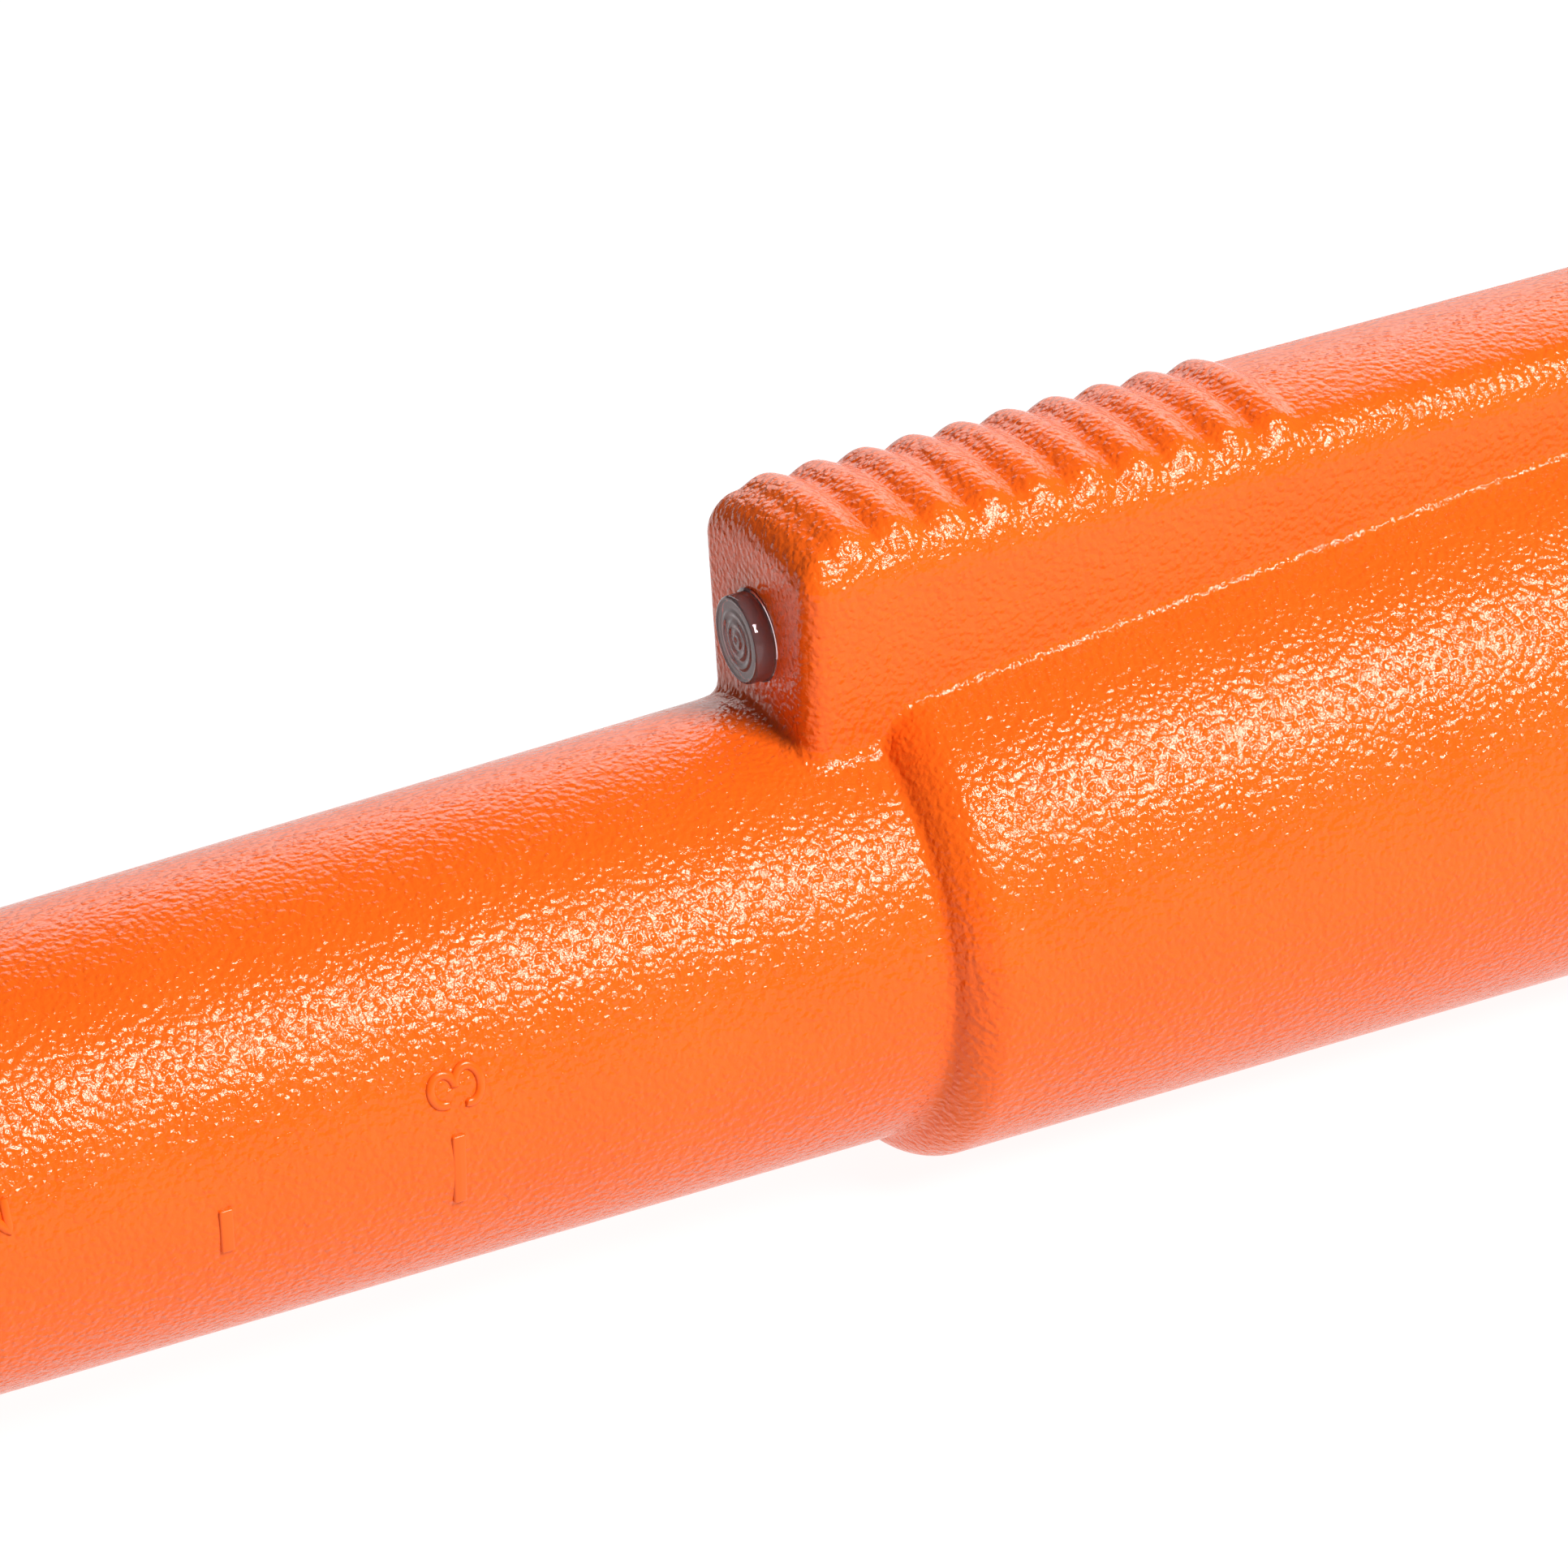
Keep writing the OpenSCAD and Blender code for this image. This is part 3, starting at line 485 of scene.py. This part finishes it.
def bar(s, middle_x, half_width, low, high, height):
    """Raised flat-topped bar on the probe's skin, as columns of a round-edged section from low to
    high round the skin, its last columns drawn in to close it."""
    radius = 0.12
    quarter = np.linspace(0, np.pi / 2, 5)
    inset = np.concatenate([[half_width - 0.01], radius * (1 - np.cos(quarter[::-1])), [0]])
    lift = np.concatenate([[height], height - radius * (1 - np.sin(quarter[::-1])), [-0.3]])
    half_arc, middle = (high - low) / 2, (high + low) / 2
    columns = []
    for drawn, up in zip(inset, lift):
        x, arc = outline(half_width - drawn, half_arc - drawn, max(0.1 - drawn, 0), 3)
        x, arc = x + middle_x, arc + middle
        r = s.tip_r + (s.root_r - s.tip_r) * x / s.probe_len
        columns.append(np.stack([x, -(r + up) * np.cos(arc / r), (r + up) * np.sin(arc / r)], -1))
    last = columns[-1] * 0 + columns[-1].mean(0)
    first = columns[0] * 0 + columns[0].mean(0)
    return to_row(np.array([first, *columns, last]))


def digit_path(number):
    """Middle line of a digit, 2.2 wide and 2.9 tall about its own middle, made of arcs and lines."""

    def arc(middle_x, middle_y, wide, tall, start, end):
        turn = np.radians(np.linspace(start, end, 30))
        return np.stack([middle_x + wide * np.cos(turn), middle_y + tall * np.sin(turn)], -1)

    def line(*corners):
        ends = np.array(corners, float)
        parts = [np.linspace(a, b, 12, endpoint=False) for a, b in zip(ends[:-1], ends[1:])]
        return np.concatenate(parts + [ends[-1:]])

    if number == 1:
        return line((-0.5, 0.85), (0.15, 1.35), (0.15, -1.35))
    if number == 2:
        return np.concatenate([arc(0, 0.55, 0.85, 0.8, 165, -20), line((0.7, 0), (-0.85, -1.35), (0.95, -1.35))])
    return np.concatenate([arc(-0.1, 0.69, 0.8, 0.68, 205, -82), arc(-0.1, -0.67, 0.98, 0.7, 87, -208)])


class PINPOINTER_OT_ruler(bpy.types.Operator):
    """Build the raised ruler lines and digits on the side of the probe"""

    bl_idname = "pinpointer.ruler"
    bl_label = "Ruler"

    def execute(self, context):
        s = shell_sizes()
        raised = s.small_round * 0.45
        line_half_w, stroke_half_w = 0.375, 0.25
        inch_line, half_line = (-3.97, 0.15), (-2.7, -0.2)
        lines = [bar(s, half * INCH / 2, line_half_w, *(half_line if half % 2 else inch_line), raised)
                 for half in range(1, 7)]
        digit_back, digit_up = 0.25, 2.78
        digits = []
        for number in (1, 2, 3):
            path = digit_path(number)
            along = number * INCH + digit_back - path[:, 1]
            digits.append(ribbon(s, along, path[:, 0] + digit_up, stroke_half_w, raised))
        ruler = lay_mesh("ruler_marks", lines + digits, 40)
        wear(ruler, smooth_finish(), "root", "orange_shell")
        return {"FINISHED"}


def cap_field(s, f, u, y, w):
    """Outside of the cap's head: a straight drum with a rounded end, its front edge slightly broken,
    scalloped by round-nosed flutes that stop short of the front, and cut by the belly plane."""
    front = s.grip_len + f.cap_gap
    r = np.hypot(y, w)
    drum = meet(r - s.grip_tail_r, u - front - f.cap_len, f.chamfer)
    drum = meet(drum, front - u, 0.3)
    pitch = 2 * np.pi / f.flutes
    from_flute = (np.arctan2(w, y) % pitch) - pitch / 2
    centre_r = s.grip_tail_r + f.flute_r - f.flute_depth
    short = np.maximum(front + 4.2 - u, 0)
    across = np.hypot(r * np.sin(from_flute), r * np.cos(from_flute) - centre_r)
    drum = meet(drum, f.flute_r - np.hypot(across, short), 0.3)
    belly = -s.belly_drop - u * math.sin(s.tilt) - w * math.cos(s.tilt)
    return meet(drum, belly, 0.25)


def cap_shell(s, f):
    """The cap in its own frame: rays over the head from its front face to the pole of its end, then
    rings for its inside, sleeve, collar and the ring's groove."""
    rows_per_flute = 20
    turn = np.linspace(0, 2 * np.pi, f.flutes * rows_per_flute, endpoint=False)
    front, end = s.grip_len + f.cap_gap, s.grip_len + f.cap_gap + f.cap_len
    head = front + f.cap_len - 8
    beside = spread((front - 6, front - 0.5, 0.28), (front - 0.5, front + 6, 0.4), (front + 6, head, 1.0))
    slant = np.arctan2(beside - head, s.grip_tail_r)
    over = np.radians(spread((4, 18, 2.5), (18, 34, 1.0), (34, 60, 5), (60, 90, 10)))
    slant = np.concatenate([np.minimum(slant[:-1], 0), over])
    skin = cast(lambda x, y, z: cap_field(s, f, x, y, z),
                np.full(len(slant), head), np.zeros(len(slant)), -slant, turn)
    keep = np.hypot(skin[:, :, 1], skin[:, :, 2]).min(1) > s.collar_r + 0.1
    keep |= skin[:, :, 0].mean(1) > front + 1
    groove_r = s.collar_r - 1.1
    bore_r = s.sleeve_r - 1.3
    rings = [(front, s.collar_r), (s.grip_len - 2, s.collar_r), (s.grip_len - 2, groove_r),
             (s.grip_len - 3.4, groove_r), (s.grip_len - 3.4, s.collar_r), (s.grip_len - 4.1, s.collar_r),
             (s.grip_len - f.collar_len, s.collar_r - 0.4),
             (s.grip_len - f.sleeve_len + 0.5, s.sleeve_r), (s.grip_len - f.sleeve_len, s.sleeve_r - 0.5),
             (s.grip_len - f.sleeve_len, bore_r), (end - f.cap_end_wall, bore_r), (end - f.cap_end_wall, 0)]
    inside = [np.stack([np.full_like(turn, u), r * np.cos(turn), r * np.sin(turn)], -1) for u, r in rings]
    local = np.concatenate([skin[keep][::-1], np.array(inside)])
    return from_grip(s, local[..., 0], local[..., 1], local[..., 2])


def eye_ring(s, f):
    """The lanyard eye: a rounded square section carried once round its hole. Towards the cap its
    outer edge follows a square that sinks into the cap's end, away from it a half circle."""
    turn = np.linspace(0, 2 * np.pi, 96, endpoint=False)
    outer_r = f.eye_hole_r + f.eye_rim
    sunk, tiny, stand_off = 4.2, 1e-6, 0.8
    square = np.minimum(sunk / np.maximum(-np.cos(turn), tiny), outer_r / np.maximum(np.abs(np.sin(turn)), tiny))
    reach = np.where(np.cos(turn) >= 0, outer_r, square)
    half_t, edge = f.eye_t / 2, 0.9
    across, along = outline(f.eye_rim / 2, half_t, edge, 6)
    share = (across / f.eye_rim + 0.5)[None, :]
    r = f.eye_hole_r + share * (reach[:, None] - f.eye_hole_r)
    u = s.grip_len + f.cap_gap + f.cap_len + f.eye_hole_r + stand_off + r * np.cos(turn)[:, None]
    w = r * np.sin(turn)[:, None]
    ring = from_grip(s, u, np.broadcast_to(along, r.shape), w)
    return np.concatenate([ring, ring[:1]])


class PINPOINTER_OT_cap(bpy.types.Operator):
    """Build the fluted screw cap with its sleeve, ring collar and lanyard eye"""

    bl_idname = "pinpointer.cap"
    bl_label = "Cap"

    def execute(self, context):
        s, f = shell_sizes(), in_mm(context.scene.pinpointer_fittings)
        cap = lay_mesh("screw_cap", [to_row(cap_shell(s, f)), to_row(eye_ring(s, f))])
        wear(cap, shell_finish(), "cap", "orange_shell", "battery_cap")
        return {"FINISHED"}


class PINPOINTER_OT_lens(bpy.types.Operator):
    """Build the clear lens with its rippled face and its inner flange"""

    bl_idname = "pinpointer.lens"
    bl_label = "Lens"

    def execute(self, context):
        p, f = spine_sizes(), in_mm(context.scene.pinpointer_fittings)
        face, base = p.front_x - f.lens_proud, p.front_x
        dish = np.linspace(0, f.lens_r - 0.3, 60)
        ripple = 0.038 * np.cos(dish * 2 * np.pi / 0.6) * ease((f.lens_r - 0.5 - dish) / 0.4)
        quarter = np.linspace(np.pi / 2, 0, 6)
        edge = 0.18
        places = np.concatenate([face + 0.06 + ripple, face + edge * (1 - np.sin(quarter)),
                                 [base - 0.12, base - 0.02, base + 0.03, p.channel_x + 0.85, p.channel_x + 0.85,
                                  p.channel_x + 1.6, p.channel_x + 1.6, p.channel_x + 1.2, p.channel_x + 0.2]])
        radii = np.concatenate([dish, f.lens_r - edge + edge * np.cos(quarter) - 0.02,
                                [f.lens_r, f.lens_r + 0.16, f.lens_r - 0.02, f.lens_r - 0.02, f.lens_r + 0.8,
                                 f.lens_r + 0.8, 1.9, 1.5, 0]])
        lens = lay_mesh("clear_lens", [turned(0, f.lens_z, places, radii, 96)], 50)
        wear(lens, lens_with_painted_tint(), "root", "clear_lens", "led_lens")
        return {"FINISHED"}


class PINPOINTER_OT_button(bpy.types.Operator):
    """Build the soft power button with its dished top and thumb bars"""

    bl_idname = "pinpointer.button"
    bl_label = "Power button"

    def execute(self, context):
        p, f = spine_sizes(), in_mm(context.scene.pinpointer_fittings)
        top, half_x, half_y = p.top + f.button_proud, f.button_len / 2, f.button_w / 2
        quarter = np.linspace(0, np.pi / 2, 7)
        flange_z = p.roof_z - 0.7
        insets = [half_y, -0.6, -0.6, 0, 0, *(0.55 * (1 - np.cos(quarter))), 1.1, 1.5, 2.0, 2.5, half_y]
        heights = [flange_z, flange_z, flange_z + 0.6, flange_z + 0.6, top - 0.6,
                   *(top - 0.55 + 0.55 * np.sin(quarter)), top - 0.06, top - 0.17, top - 0.26, top - 0.3, top - 0.3]
        body = pillar((f.button_x, 0), half_x, half_y, half_y, insets, heights)
        bar_r, bar_pitch = 0.3, 1.6
        bar_heights = (top - 0.6, top - 0.6, top - 0.14, top - 0.04, top - 0.02)
        bars = [pillar((f.button_x + x, 0), bar_r, 1.5, bar_r, (bar_r, 0, 0, 0.12, bar_r), bar_heights)
                for x in (-bar_pitch, 0, bar_pitch)]
        button = lay_mesh("power_button_cap", [body, *bars])
        wear(button, rubber_finish(), "button", "button_rubber", "power_button")
        return {"FINISHED"}


# Finishes


def wear(piece, material, body, slot, *nodes):
    """Gives a new piece its material and the body it rides on, and hides the CAD nodes it stands for. Its slot is not
    used.
    """
    piece.data.materials.clear()
    piece.data.materials.append(material)
    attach(piece, body)
    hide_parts(*nodes)


def blank(name, base, rough, metal=0.0):
    """A Principled material with object coordinates to hand: the material, its tree and shader, and
    the coordinates. One that was made before comes back alone, with its nodes as they are."""
    name = "pinpointer_" + name
    material = bpy.data.materials.get(name)
    if material:
        return material, None, None, None
    material = bpy.data.materials.new(name)
    material.use_nodes = True
    tree = material.node_tree
    shader = tree.nodes["Principled BSDF"]
    shader.inputs["Base Color"].default_value = (*base, 1)
    shader.inputs["Roughness"].default_value = rough
    shader.inputs["Metallic"].default_value = metal
    material.diffuse_color = (*base, 1)
    return material, tree, shader, tree.nodes.new("ShaderNodeTexCoord").outputs["Object"]


def noise(tree, place, cell, detail=2.0, rough=0.5):
    """Noise whose patches are about one cell wide, in metres."""
    node = tree.nodes.new("ShaderNodeTexNoise")
    node.inputs["Scale"].default_value = 1 / cell
    node.inputs["Detail"].default_value = detail
    node.inputs["Roughness"].default_value = rough
    tree.links.new(place, node.inputs["Vector"])
    return node


def ramp(tree, source, low, high, start, end):
    """Values from start to end where the source goes from low to high."""
    node = tree.nodes.new("ShaderNodeMapRange")
    for key, value in (("From Min", low), ("From Max", high), ("To Min", start), ("To Max", end)):
        node.inputs[key].default_value = value
    tree.links.new(source, node.inputs["Value"])
    return node.outputs["Result"]


def blend_colours(tree, share, first, second):
    """Colour between two, by a share."""
    node = tree.nodes.new("ShaderNodeMix")
    node.data_type = "RGBA"
    node.inputs[6].default_value = (*first, 1)
    node.inputs[7].default_value = (*second, 1)
    tree.links.new(share, node.inputs[0])
    return node.outputs[2]


def bump(tree, height, depth, strength=1.0, under=None):
    """Bump of a given depth in metres, on top of another one if given."""
    node = tree.nodes.new("ShaderNodeBump")
    node.inputs["Distance"].default_value = depth
    node.inputs["Strength"].default_value = strength
    tree.links.new(height, node.inputs["Height"])
    if under:
        tree.links.new(under, node.inputs["Normal"])
    return node.outputs["Normal"]


def shell_finish():
    """Glossy orange plastic with spark-eroded grain: rounded cells with fine wrinkles between them,
    slightly uneven in gloss and depth of colour."""
    finish = bpy.context.scene.pinpointer_finish
    material, tree, shader, place = blank("orange_shell", finish.shell, finish.shell_rough)
    if tree is None:
        return material
    orange_tones(tree, shader, place, 0)
    warp = noise(tree, place, finish.grain * 1.6, 1)
    moved = tree.nodes.new("ShaderNodeVectorMath")
    moved.operation = "MULTIPLY_ADD"
    moved.inputs[1].default_value = (finish.grain * 0.9,) * 3
    tree.links.new(warp.outputs["Color"], moved.inputs[0])
    tree.links.new(place, moved.inputs[2])
    cells = tree.nodes.new("ShaderNodeTexVoronoi")
    cells.feature = "SMOOTH_F1"
    cells.inputs["Scale"].default_value = 1 / finish.grain
    cells.inputs["Smoothness"].default_value = 0.6
    tree.links.new(moved.outputs[0], cells.inputs["Vector"])
    wrinkles = noise(tree, place, finish.grain * 0.7, 2.5, 0.55)
    coarse = bump(tree, ramp(tree, cells.outputs["Distance"], 0, 0.8, 1, 0), finish.grain_depth, 0.8)
    grained = bump(tree, wrinkles.outputs["Fac"], finish.grain_depth * 0.7, 0.8, coarse)
    tree.links.new(grained, shader.inputs["Normal"])
    return material


def smooth_finish():
    """The shell's plastic where the mould was polished: the same colour without the grain."""
    finish = bpy.context.scene.pinpointer_finish
    material, tree, shader, place = blank("smooth_shell", finish.shell, finish.shell_rough)
    if tree is None:
        return material
    orange_tones(tree, shader, place, 0.08)
    swell = noise(tree, place, finish.grain * 3, 1)
    tree.links.new(bump(tree, swell.outputs["Fac"], finish.grain_depth * 0.3, 0.5), shader.inputs["Normal"])
    return material


def orange_tones(tree, shader, place, duller):
    """Wide, soft patches in the gloss and the depth of the orange, over roughness raised by duller."""
    finish = bpy.context.scene.pinpointer_finish
    rough = finish.shell_rough + duller
    patches = noise(tree, place, 0.006, 3)
    tree.links.new(ramp(tree, patches.outputs["Fac"], 0.3, 0.7, rough - 0.03, rough + 0.04),
                   shader.inputs["Roughness"])
    base = np.array(finish.shell)
    tree.links.new(blend_colours(tree, patches.outputs["Fac"], base * (0.96, 0.9, 0.9), base * (1, 1.08, 1.1)),
                   shader.inputs["Base Color"])
    shader.inputs["IOR"].default_value = 1.42
    shader.inputs["Specular Tint"].default_value = (1, 0.84, 0.72, 1)


def lens_with_painted_tint():
    """Clear plastic with faint flow lines, given a painted pink tint in its colour and its reflections that stands in
    for the orange housing seen in it.
    """
    # Painted reflection: the pink base colour stands in for the orange round the lens, which itself is clear.
    material, tree, shader, place = blank("clear_lens", (1, 0.76, 0.78), 0.02)
    if tree is None:
        return material
    shader.inputs["Transmission Weight"].default_value = 0.9
    shader.inputs["IOR"].default_value = 1.42
    # Painted reflection: the pink specular tint also stands in for the orange round the lens.
    shader.inputs["Specular Tint"].default_value = (1, 0.86, 0.86, 1)
    flow = noise(tree, place, 0.0012, 1)
    tree.links.new(bump(tree, flow.outputs["Fac"], 0.00002, 0.4), shader.inputs["Normal"])
    return material


def rubber_finish():
    """Matt moulded rubber with a fine stipple and a slightly dusty bloom."""
    base = np.array(bpy.context.scene.pinpointer_finish.rubber)
    return stippled("black_rubber", base, 0.62, 0.00025, 0.00001)


def stippled(name, base, rough, cell, depth, metal=0.0, spread_by=0.12):
    """Moulded or sintered surface: fine stipple in the normal, soft patches in colour and gloss."""
    base = np.array(base)
    material, tree, shader, place = blank(name, tuple(base), rough, metal)
    if tree is None:
        return material
    fine = noise(tree, place, cell, 2)
    patches = noise(tree, place, cell * 14, 3)
    tree.links.new(bump(tree, fine.outputs["Fac"], depth, 0.6), shader.inputs["Normal"])
    low, high = max(rough - spread_by, 0.05), min(rough + spread_by, 1)
    tree.links.new(ramp(tree, patches.outputs["Fac"], 0.3, 0.7, low, high), shader.inputs["Roughness"])
    tree.links.new(blend_colours(tree, patches.outputs["Fac"], base * 0.86, np.minimum(base * 1.14, 1)),
                   shader.inputs["Base Color"])
    return material


def wound_with_painted_shade(name, base, pitch, axis="X"):
    """Enamelled wire wound side by side: ridges across the axis, one to each turn, with painted shade darkening the
    colour between the ridges.
    """
    material, tree, shader, place = blank(name, tuple(base), 0.28, 0.85)
    if tree is None:
        return material
    bands = 3.18  # bands in a metre of a wave texture whose scale is 1
    turns = tree.nodes.new("ShaderNodeTexWave")
    turns.bands_direction = axis
    turns.inputs["Scale"].default_value = 1 / pitch / bands
    tree.links.new(place, turns.inputs["Vector"])
    tree.links.new(bump(tree, turns.outputs["Fac"], pitch / 3, 0.9), shader.inputs["Normal"])
    base = np.array(base)
    # Painted shade: the colour falls to about a third between the turns and is full on their ridges.
    tree.links.new(blend_colours(tree, turns.outputs["Fac"], base * 0.35, base), shader.inputs["Base Color"])
    return material


def brushed(name, base, rough, axis):
    """Metal with fine drawn or turned lines along one direction."""
    material, tree, shader, place = blank(name, tuple(base), rough, 1.0)
    if tree is None:
        return material
    stretch = tree.nodes.new("ShaderNodeMapping")
    stretch.inputs["Scale"].default_value = axis
    tree.links.new(place, stretch.inputs["Vector"])
    lines = noise(tree, stretch.outputs[0], 0.0002, 3)
    tree.links.new(ramp(tree, lines.outputs["Fac"], 0.3, 0.7, rough - 0.08, rough + 0.12), shader.inputs["Roughness"])
    tree.links.new(bump(tree, lines.outputs["Fac"], 0.000004, 0.5), shader.inputs["Normal"])
    base = np.array(base)
    tree.links.new(blend_colours(tree, lines.outputs["Fac"], base * 0.85, base), shader.inputs["Base Color"])
    return material


def board_finish():
    """Green solder mask over faint copper tracks: a brick grid of thin raised lines."""
    base = np.array(bpy.context.scene.pinpointer_finish.board)
    material, tree, shader, place = blank("green_board", tuple(base), 0.3)
    if tree is None:
        return material
    tracks = tree.nodes.new("ShaderNodeTexBrick")
    tracks.inputs["Color1"].default_value = (*base, 1)
    tracks.inputs["Color2"].default_value = (*(base * 0.8), 1)
    tracks.inputs["Mortar"].default_value = (*np.minimum(base * 2.2, 1), 1)
    tracks.inputs["Scale"].default_value = 300
    tracks.inputs["Mortar Size"].default_value = 0.03
    tree.links.new(place, tracks.inputs["Vector"])
    tree.links.new(tracks.outputs["Color"], shader.inputs["Base Color"])
    tree.links.new(bump(tree, tracks.outputs["Fac"], 0.00004, 0.7), shader.inputs["Normal"])
    return material


def inner_finishes():
    """Finish of each material slot."""
    finish = bpy.context.scene.pinpointer_finish
    return {
        "orange_shell": shell_finish(),
        "clear_lens": lens_with_painted_tint(),
        "button_rubber": rubber_finish(),
        "black_rubber": rubber_finish(),
        "led_epoxy": stippled("led_epoxy", (0.8, 0.78, 0.7), 0.18, 0.0005, 0.000004),
        "white_nylon": stippled("white_nylon", finish.nylon, 0.45, 0.0004, 0.00001),
        "green_board": board_finish(),
        "steel": brushed("plated_steel", (0.62, 0.62, 0.64), 0.24, (1, 1, 12)),
        "black_plastic": stippled("black_plastic", (0.025, 0.025, 0.028), 0.38, 0.0003, 0.000012),
        "copper_wire": wound_with_painted_shade("copper_wire", finish.copper, 0.00032),
        "grey_foam": stippled("grey_foam", (0.16, 0.16, 0.17), 0.95, 0.0005, 0.00018, 0, 0.05),
        "ferrite": stippled("ferrite", (0.045, 0.045, 0.05), 0.42, 0.0002, 0.000014),
        "capacitor_can": stippled("capacitor_sleeve", (0.02, 0.04, 0.16), 0.25, 0.0008, 0.000008),
        "motor_can": brushed("motor_can", (0.55, 0.56, 0.58), 0.3, (12, 1, 1)),
        "weight_brass": brushed("weight_brass", (0.62, 0.43, 0.16), 0.34, (1, 8, 8)),
        "battery_jacket": stippled("battery_jacket", (0.015, 0.03, 0.12), 0.3, 0.0006, 0.000006),
        "battery_cell": brushed("battery_cell", (0.6, 0.6, 0.6), 0.35, (1, 9, 9)),
    }


class PINPOINTER_OT_inner_parts(bpy.types.Operator):
    """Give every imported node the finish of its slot"""

    bl_idname = "pinpointer.inner_parts"
    bl_label = "Inside parts"

    def execute(self, context):
        finishes = inner_finishes()
        for part in frame["record"]["subparts"]:
            mesh = frame["nodes"][part["node"]].data
            mesh.materials.clear()
            mesh.materials.append(finishes[part["material_slot"]])
        return {"FINISHED"}


# Stage


def light(name, place, target, power, size):
    """Area light at a place, facing a target, both in row-frame metres."""
    data = bpy.data.lights.new(name, "AREA")
    data.energy = power
    data.shape = "RECTANGLE"
    data.size, data.size_y = size
    lamp = bpy.data.objects.new(name, data)
    lamp.location = place
    lamp.rotation_euler = (Vector(target) - Vector(place)).to_track_quat("-Z", "Y").to_euler()
    bpy.context.scene.collection.objects.link(lamp)


def pale_floor(settings, finish):
    """Wide, slightly dished sheet under the object, which gives off a little light of its own."""
    half, cells = 3, 24
    across = np.linspace(-half, half, cells + 1)
    x, y = np.meshgrid(across, across, indexing="ij")
    z = -0.0002 - 0.001 * ((x / half) ** 2 + (y / half) ** 2)
    mesh = bpy.data.meshes.new("floor")
    i, j = np.meshgrid(np.arange(cells), np.arange(cells), indexing="ij")
    corner = i * (cells + 1) + j
    faces = np.stack([corner, corner + cells + 1, corner + cells + 2, corner + 1], -1).reshape(-1, 4)
    mesh.from_pydata(np.stack([x, y, z], -1).reshape(-1, 3), [], faces)
    floor = bpy.data.objects.new("floor", mesh)
    bpy.context.scene.collection.objects.link(floor)
    material, tree, shader, place = blank("pale_floor", finish.floor, 0.8)
    shader.inputs["Emission Color"].default_value = (1, 1, 1, 1)
    shader.inputs["Emission Strength"].default_value = settings.floor_glow
    patches = noise(tree, place, 0.4, 2)
    base = np.array(finish.floor)
    tree.links.new(blend_colours(tree, patches.outputs["Fac"], base * 0.98, base), shader.inputs["Base Color"])
    mesh.materials.append(material)


class PINPOINTER_OT_stage(bpy.types.Operator):
    """Set up the camera, the soft lights and the pale floor"""

    bl_idname = "pinpointer.stage"
    bl_label = "Camera, lights and floor"

    def execute(self, context):
        scene = context.scene
        settings, finish = scene.pinpointer_stage, scene.pinpointer_finish
        place = (-0.1631, -0.31417, 0.1871)
        ahead = Vector((0.38596, 0.81702, -0.42839))
        up = Vector((0.25379, 0.35241, 0.90077))
        right = ahead.cross(up)
        data = bpy.data.cameras.new("camera")
        data.sensor_width = 36
        data.lens = settings.focal
        data.clip_start = 0.01
        camera = bpy.data.objects.new("camera", data)
        turn = Matrix((right, up, -ahead)).transposed().to_4x4()
        camera.matrix_world = Matrix.Translation(place) @ turn
        scene.collection.objects.link(camera)
        scene.camera = camera
        middle = Vector((-0.01, 0, 0.03))
        key_side, key_far = Vector((0.30, -0.69, 0.66)), 0.75
        back_side, back_far = Vector((0.47, 0.78, 0.42)), 0.9
        light("key", middle + key_side * key_far, middle, settings.key, (0.26, 0.26))
        light("back", middle + back_side * back_far, middle, settings.back, (1.0, 0.6))
        world = bpy.data.worlds.new("studio")
        world.use_nodes = True
        background = world.node_tree.nodes["Background"]
        background.inputs["Color"].default_value = (1, 1, 1, 1)
        background.inputs["Strength"].default_value = settings.sky
        scene.world = world
        scene.view_settings.view_transform = "Standard"
        pale_floor(settings, finish)
        return {"FINISHED"}


OPERATORS = (
    PINPOINTER_OT_housing,
    PINPOINTER_OT_ruler,
    PINPOINTER_OT_cap,
    PINPOINTER_OT_lens,
    PINPOINTER_OT_button,
    PINPOINTER_OT_inner_parts,
    PINPOINTER_OT_stage,
)
GROUPS = {
    "pinpointer_shell": PINPOINTER_PG_shell,
    "pinpointer_spine": PINPOINTER_PG_spine,
    "pinpointer_fittings": PINPOINTER_PG_fittings,
    "pinpointer_finish": PINPOINTER_PG_finish,
    "pinpointer_stage": PINPOINTER_PG_stage,
}


class PINPOINTER_PT_build(bpy.types.Panel):
    """Sizes, colours and one button for each group of pieces"""

    bl_label = "Pinpointer"
    bl_space_type = "VIEW_3D"
    bl_region_type = "UI"
    bl_category = "Pinpointer"

    def draw(self, context):
        for name in GROUPS:
            box = self.layout.box()
            group = getattr(context.scene, name)
            for key in group.__annotations__:
                box.prop(group, key)
        for operator in OPERATORS:
            self.layout.operator(operator.bl_idname)


def register():
    """Registers the groups, operators and panel, and hangs the groups on the scene."""
    for name, group in GROUPS.items():
        bpy.utils.register_class(group)
        setattr(bpy.types.Scene, name, bpy.props.PointerProperty(type=group))
    for operator in OPERATORS:
        bpy.utils.register_class(operator)
    bpy.utils.register_class(PINPOINTER_PT_build)


def unregister():
    """Takes away what register() added."""
    bpy.utils.unregister_class(PINPOINTER_PT_build)
    for operator in reversed(OPERATORS):
        bpy.utils.unregister_class(operator)
    for name, group in reversed(GROUPS.items()):
        delattr(bpy.types.Scene, name)
        bpy.utils.unregister_class(group)


def main():
    """Builds the whole object."""
    register()
    bpy.ops.pinpointer.housing()
    bpy.ops.pinpointer.ruler()
    bpy.ops.pinpointer.cap()
    bpy.ops.pinpointer.lens()
    bpy.ops.pinpointer.button()
    bpy.ops.pinpointer.inner_parts()
    bpy.ops.pinpointer.stage()


if __name__ == "__main__":
    main()
